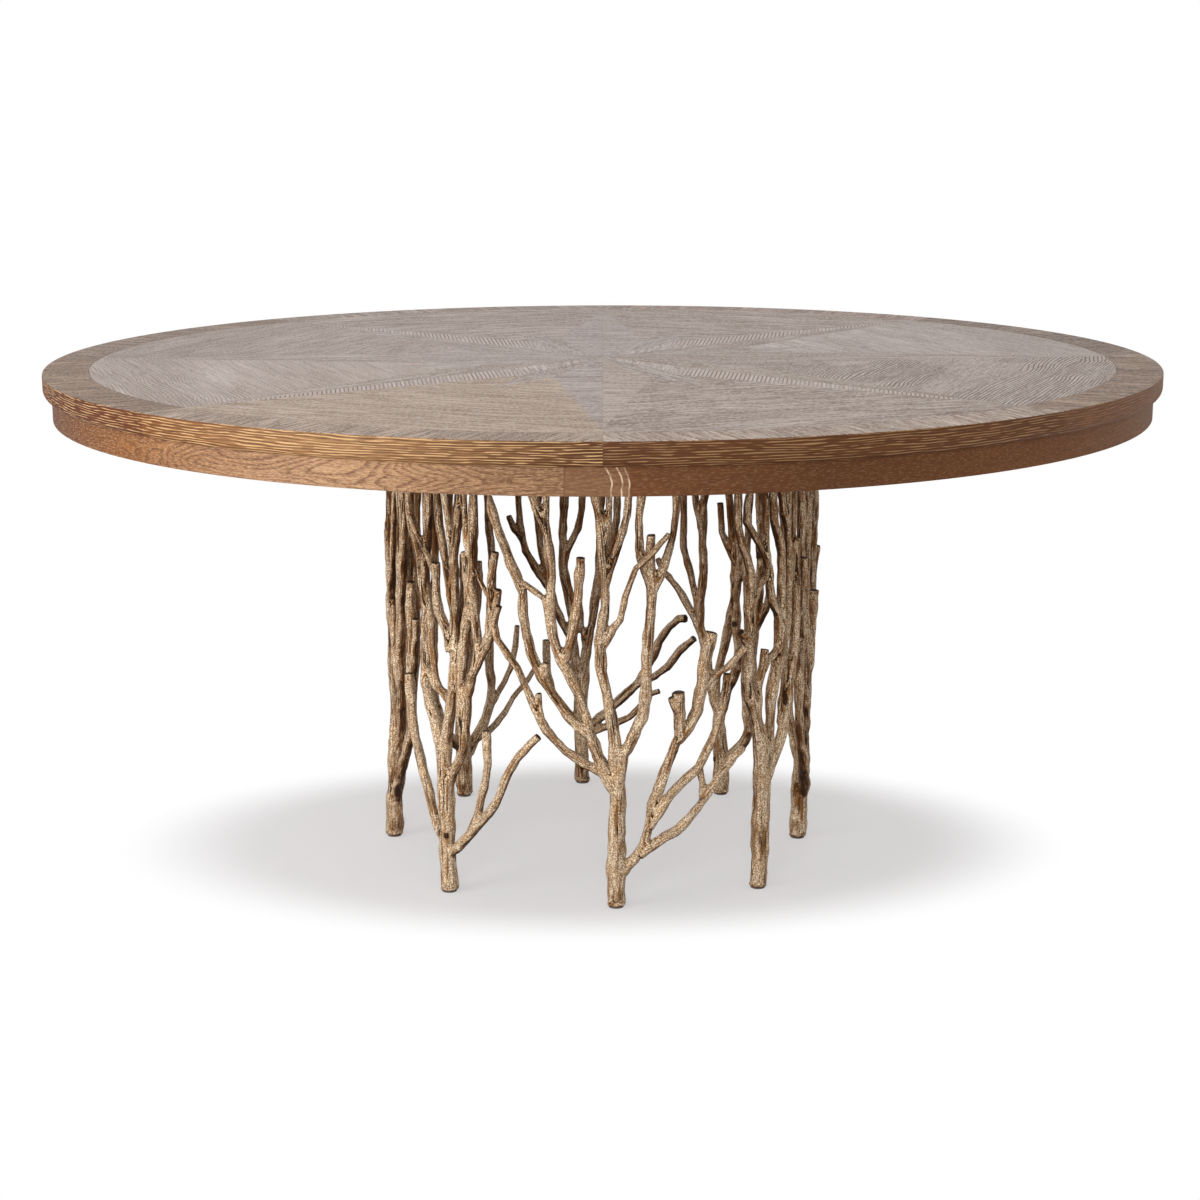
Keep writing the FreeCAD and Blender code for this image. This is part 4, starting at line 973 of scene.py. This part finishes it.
def branch_radius(points, normals, table, mask):
    """How thick the branch is at every point, from how fast averaging draws the skin inwards."""
    drawn = heights(points - spread_over(points, table, mask, BEND_PASSES), normals)
    drawn = np.maximum(spread_over(drawn, table, mask, 60), 1e-6)
    return np.clip(BEND_PASSES * SKIN_VOXEL ** 2 / (8.0 * drawn), THINNEST, THICKEST)


def branch_lines(normals, table, mask):
    """The direction of the branch at every point."""
    tensor = normals[:, :, None] * normals[:, None, :]
    tensor = spread_over(tensor.reshape(len(normals), 9), table, mask, 40).reshape(-1, 3, 3)
    return np.linalg.eigh(tensor)[1][:, :, 0]


def smear_weights(points, lines, table, mask):
    """How much each neighbour counts when dents are smeared along the branch."""
    reach = points[table] - points[:, None, :]
    length = np.maximum(np.linalg.norm(reach, axis=2), 1e-9)
    along = np.abs(np.einsum("vkc,vc->vk", reach, lines)) / length
    return mask * (along ** SMEAR_POWER + 1e-5)


def end_share(points, normals, ends):
    """1 on the sawn ends and 0 elsewhere."""
    share = np.zeros(len(points))
    for middle, line, radius in ends:
        away = points - middle
        near = (np.abs(away @ line) < END_REACH) & (np.linalg.norm(away, axis=1) < radius + END_REACH / 2)
        share = np.maximum(share, near * np.clip((normals @ line - 0.35) / 0.3, 0.0, 1.0))
    return share


def inward_share(points, normals):
    """1 where the skin faces the middle of the table, -1 where it faces away."""
    middle = -points[:, :2] / np.linalg.norm(points[:, :2], axis=1, keepdims=True)
    return heights(normals[:, :2], middle)


def knots_on(points, chance):
    """Round swellings with a dent in the middle, at a few places chosen by chance."""
    knots = np.zeros(len(points))
    for spot in chance.choice(len(points), KNOT_COUNT, replace=False):
        away = np.linalg.norm(points - points[spot], axis=1) / KNOT_RADIUS
        knots += np.exp(-away ** 2) * (1.0 - 0.9 * np.exp(-(away / 0.45) ** 2))
    return knots


def store(mesh, name, kind, key, values):
    """Keeps values at the points of a mesh, where a finish can read them by name."""
    layer = mesh.attributes.new(name, kind, "POINT")
    layer.data.foreach_set(key, values.astype(np.float32).ravel())


def bark_skin(index, side):
    """Replaces one cast sapling of the frame with its barked skin."""
    node = "sapling_" + side
    chance = np.random.default_rng(FIRST_SEED + index)
    mesh, ends = skin_of(node, SKIN_VOXEL)
    points, quads, edges, crosses = read_skin(mesh)
    count = len(points)
    table, mask = neighbours(edges, count)
    low, high = points[:, 2].min(), points[:, 2].max()
    points = even_skin(points, quads, table, mask)
    normals = point_normals(points, quads)
    cut = end_share(points, normals, ends)
    near_end = np.minimum(points[:, 2] - low, high - points[:, 2])
    flat = np.maximum(cut, np.clip(1.0 - near_end / (1.5 * SKIN_VOXEL), 0.0, 1.0))

    wide_table, wide_mask = neighbours(np.concatenate([edges, crosses]), count)
    smear = smear_weights(points, branch_lines(normals, table, mask), wide_table, wide_mask)
    ridges = spread_over(chance.standard_normal(count), table, mask, 5)
    ridges = evened(spread_over(ridges, wide_table, smear, 140))
    fine = evened(spread_over(chance.standard_normal(count), wide_table, smear, 24))
    lumps = evened(spread_over(chance.standard_normal(count), table, mask, 70))
    radius = branch_radius(points, normals, table, mask)
    girth = spread_over(normals, table, mask, 12)
    girth = girth / np.linalg.norm(girth, axis=1, keepdims=True) * radius[:, None]
    rise = RIDGE_SHARE * np.tanh(ridges) + FINE_SHARE * fine + LUMP_SHARE * np.clip(lumps, -2.0, 2.0)
    rise = rise * radius + KNOT_HEIGHT * knots_on(points, chance)
    points = points + normals * (rise * (1.0 - flat))[:, None]
    points[:, 2] = np.clip(points[:, 2], low, high)

    normals = point_normals(points, quads)
    hollow = heights(spread_over(points, table, mask, 10) - points, normals) / HOLLOW_SCALE
    fork = heights(spread_over(points, table, mask, 60) - points, normals) / FORK_SCALE
    mesh.vertices.foreach_set("co", points.ravel())
    mesh.update()
    mesh.polygons.foreach_set("use_smooth", np.ones(len(mesh.polygons), dtype=bool))
    shares = {"ridge": ridges, "cut": cut, "hollow": hollow, "fork": fork}
    shares["inward"] = inward_share(points, normals)
    for name, values in shares.items():
        store(mesh, name, "FLOAT", "value", values)
    store(mesh, "girth", "FLOAT_VECTOR", "vector", girth)
    piece = new_object("cast_sapling_" + side, mesh)
    mesh.materials.clear()
    mesh.materials.append(antique_metal)
    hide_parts(node)
    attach(piece, "root")
    print(side, "quads", len(quads), "ends", len(ends))
    return piece


# %% [markdown]
# The castings wear an antique champagne finish, laid on in this order: a pale metal coat, brushed along the
# branch and clouded with grey; a brown stipple and dark specks; warm brown strokes, and dark grooves that
# keep to the hollows between the ridges; an orange brown glaze; and a dark brown undercoat. The undercoat
# stays in the forks and on sawn ends. The glaze and the undercoat are also painted shade: on the sides of
# the branches, underneath, where they are partly patina, and on what faces the middle of the table. High
# up, where the top shades the branches, all the dark layers are painted thicker as shade.

# %% Antique metal
CHAMPAGNE = chart(242, 225, 197)
CHAMPAGNE_SHADE = chart(206, 174, 134)
GREY_CLOUD = chart(158, 146, 128)
STIPPLE_TONE = chart(120, 78, 36)
SPECK_TONE = chart(64, 36, 14)
WARM_TONE = chart(126, 78, 28)
GROOVE_TONE = chart(40, 19, 4)
GLAZE_AND_SHADE_TONE = chart(112, 68, 28)
UNDERCOAT_AND_SHADE_TONE = chart(42, 20, 5)
# The heights between which the painted shade under the top grows.
CLIMB = (0.05, 0.70)
GRIT_SCALE = 560.0
SPECK_SCALE = 300.0
BRUSHED = (480.0, 40.0, 0.0)
WARM_STROKES = (190.0, 12.0, 4.0)
GROOVE_STROKES = (340.0, 16.0, 9.0)
SPARED_BY_RIDGE = -0.05


def strokes(bench, place, across, lengthwise, shift):
    """A cloud of brush strokes along the branch."""
    round_it = bench.vector("SCALE", bench.stored("girth", "Vector"), across)
    vector = bench.vector("ADD", round_it, bench.vector("SCALE", place, lengthwise))
    return bench.cloud(bench.vector("ADD", vector, (shift, shift, shift)), 1.0, 2.0, 0.65)


def metal_coat(bench, place, brushed, grit, height_shade):
    """The brushed and clouded coat with its stipple and specks."""
    colour = bench.mix(bench.cut(brushed, 0.40, 0.60), CHAMPAGNE, CHAMPAGNE_SHADE)
    clouds = bench.cloud(place, 22.0, 4.0, 0.6)
    colour = bench.mix(bench.cut(clouds, 0.48, 0.72, 0.0, 0.4), colour, GREY_CLOUD)
    # painted shade: more stipple high up, under the top
    stipple = bench.cut(bench.times_plus(height_shade, 0.03, grit), 0.46, 0.56)
    colour = bench.tint(colour, STIPPLE_TONE, stipple, 0.78)
    specks = bench.cut(bench.cloud(place, SPECK_SCALE, 3.0, 0.9), 0.55, 0.63)
    return bench.tint(colour, SPECK_TONE, specks, 0.8)


def stroked(bench, colour, place, height_shade):
    """Warm strokes and dark grooves, which the ridges are spared."""
    spared = bench.times(bench.stored("ridge"), SPARED_BY_RIDGE)
    warm = bench.sums("ADD", spared, strokes(bench, place, *WARM_STROKES))
    # painted shade: more warm strokes high up, under the top
    warm = bench.times_plus(height_shade, 0.05, warm)
    colour = bench.mix(bench.cut(warm, 0.55, 0.66, 0.0, 0.8), colour, WARM_TONE)
    groove = bench.sums("ADD", spared, strokes(bench, place, *GROOVE_STROKES))
    groove = bench.times_plus(bench.stored("hollow"), 0.12, groove)
    # painted shade: more dark grooves high up, under the top
    groove = bench.times_plus(height_shade, 0.10, groove)
    return bench.mix(bench.cut(groove, 0.60, 0.66, 0.0, 0.95), colour, GROOVE_TONE)


def glaze_and_painted_shade(bench, colour, brushed, height_shade):
    """The glaze and the undercoat as painted shade on the sides, underneath and on inward faces, more so
    high up, varied by the brushed strokes. The undercoat also fills the forks and sawn ends.
    """
    inward = bench.stored("inward")
    # painted shade: the sides of the branches, between neighbours, are darker, more so high up
    flank_shade = bench.times_plus(bench.times(inward, inward), -0.5, 0.5)
    flank_shade = bench.times(flank_shade, bench.times_plus(height_shade, 0.7, 0.45))
    # painted shade on what faces the middle of the table and underneath, where it is partly patina; the
    # brushed strokes vary it
    turned = bench.times_plus(inward, bench.times_plus(height_shade, 0.2, 0.2), flank_shade)
    turned = bench.times_plus(bench.facing_up("Normal"), -0.9, turned)
    turned = bench.sums("ADD", bench.sums("SUBTRACT", brushed, 0.5), turned)
    colour = bench.mix(bench.cut(turned, 0.05, 0.6, 0.0, 0.8), colour, GLAZE_AND_SHADE_TONE)
    crevice = bench.cut(bench.stored("fork"), 0.35, 1.0)
    # The undercoat fills the forks and sawn ends, and lies as painted shade where the skin faces down,
    # sideways, inwards and high up.
    dark = bench.largest(crevice, bench.cut(turned, 0.40, 0.80), bench.stored("cut"))
    return bench.tint(colour, UNDERCOAT_AND_SHADE_TONE, dark, 0.92)


def antique_finish():
    bench = Bench("antique_champagne")
    place = bench.object_place()
    height_shade = bench.cut(bench.split(place)[2], *CLIMB)
    grit = bench.cloud(place, GRIT_SCALE, 1.0, 0.6)
    brushed = strokes(bench, place, *BRUSHED)
    colour = metal_coat(bench, place, brushed, grit, height_shade)
    colour = glaze_and_painted_shade(bench, stroked(bench, colour, place, height_shade), brushed, height_shade)
    relief = bench.bump(bench.times_plus(brushed, 1.5, grit), 0.0006)
    gloss = bench.times_plus(grit, 0.35, 0.25)
    bench.finish(Metallic=0.15, Specular_IOR_Level=0.06)
    return bench.finish(Base_Color=colour, Roughness=gloss, Normal=relief)


antique_metal = antique_finish()
castings = [bark_skin(index, side) for index, side in enumerate(SAPLINGS)]
print("castings", len(castings))
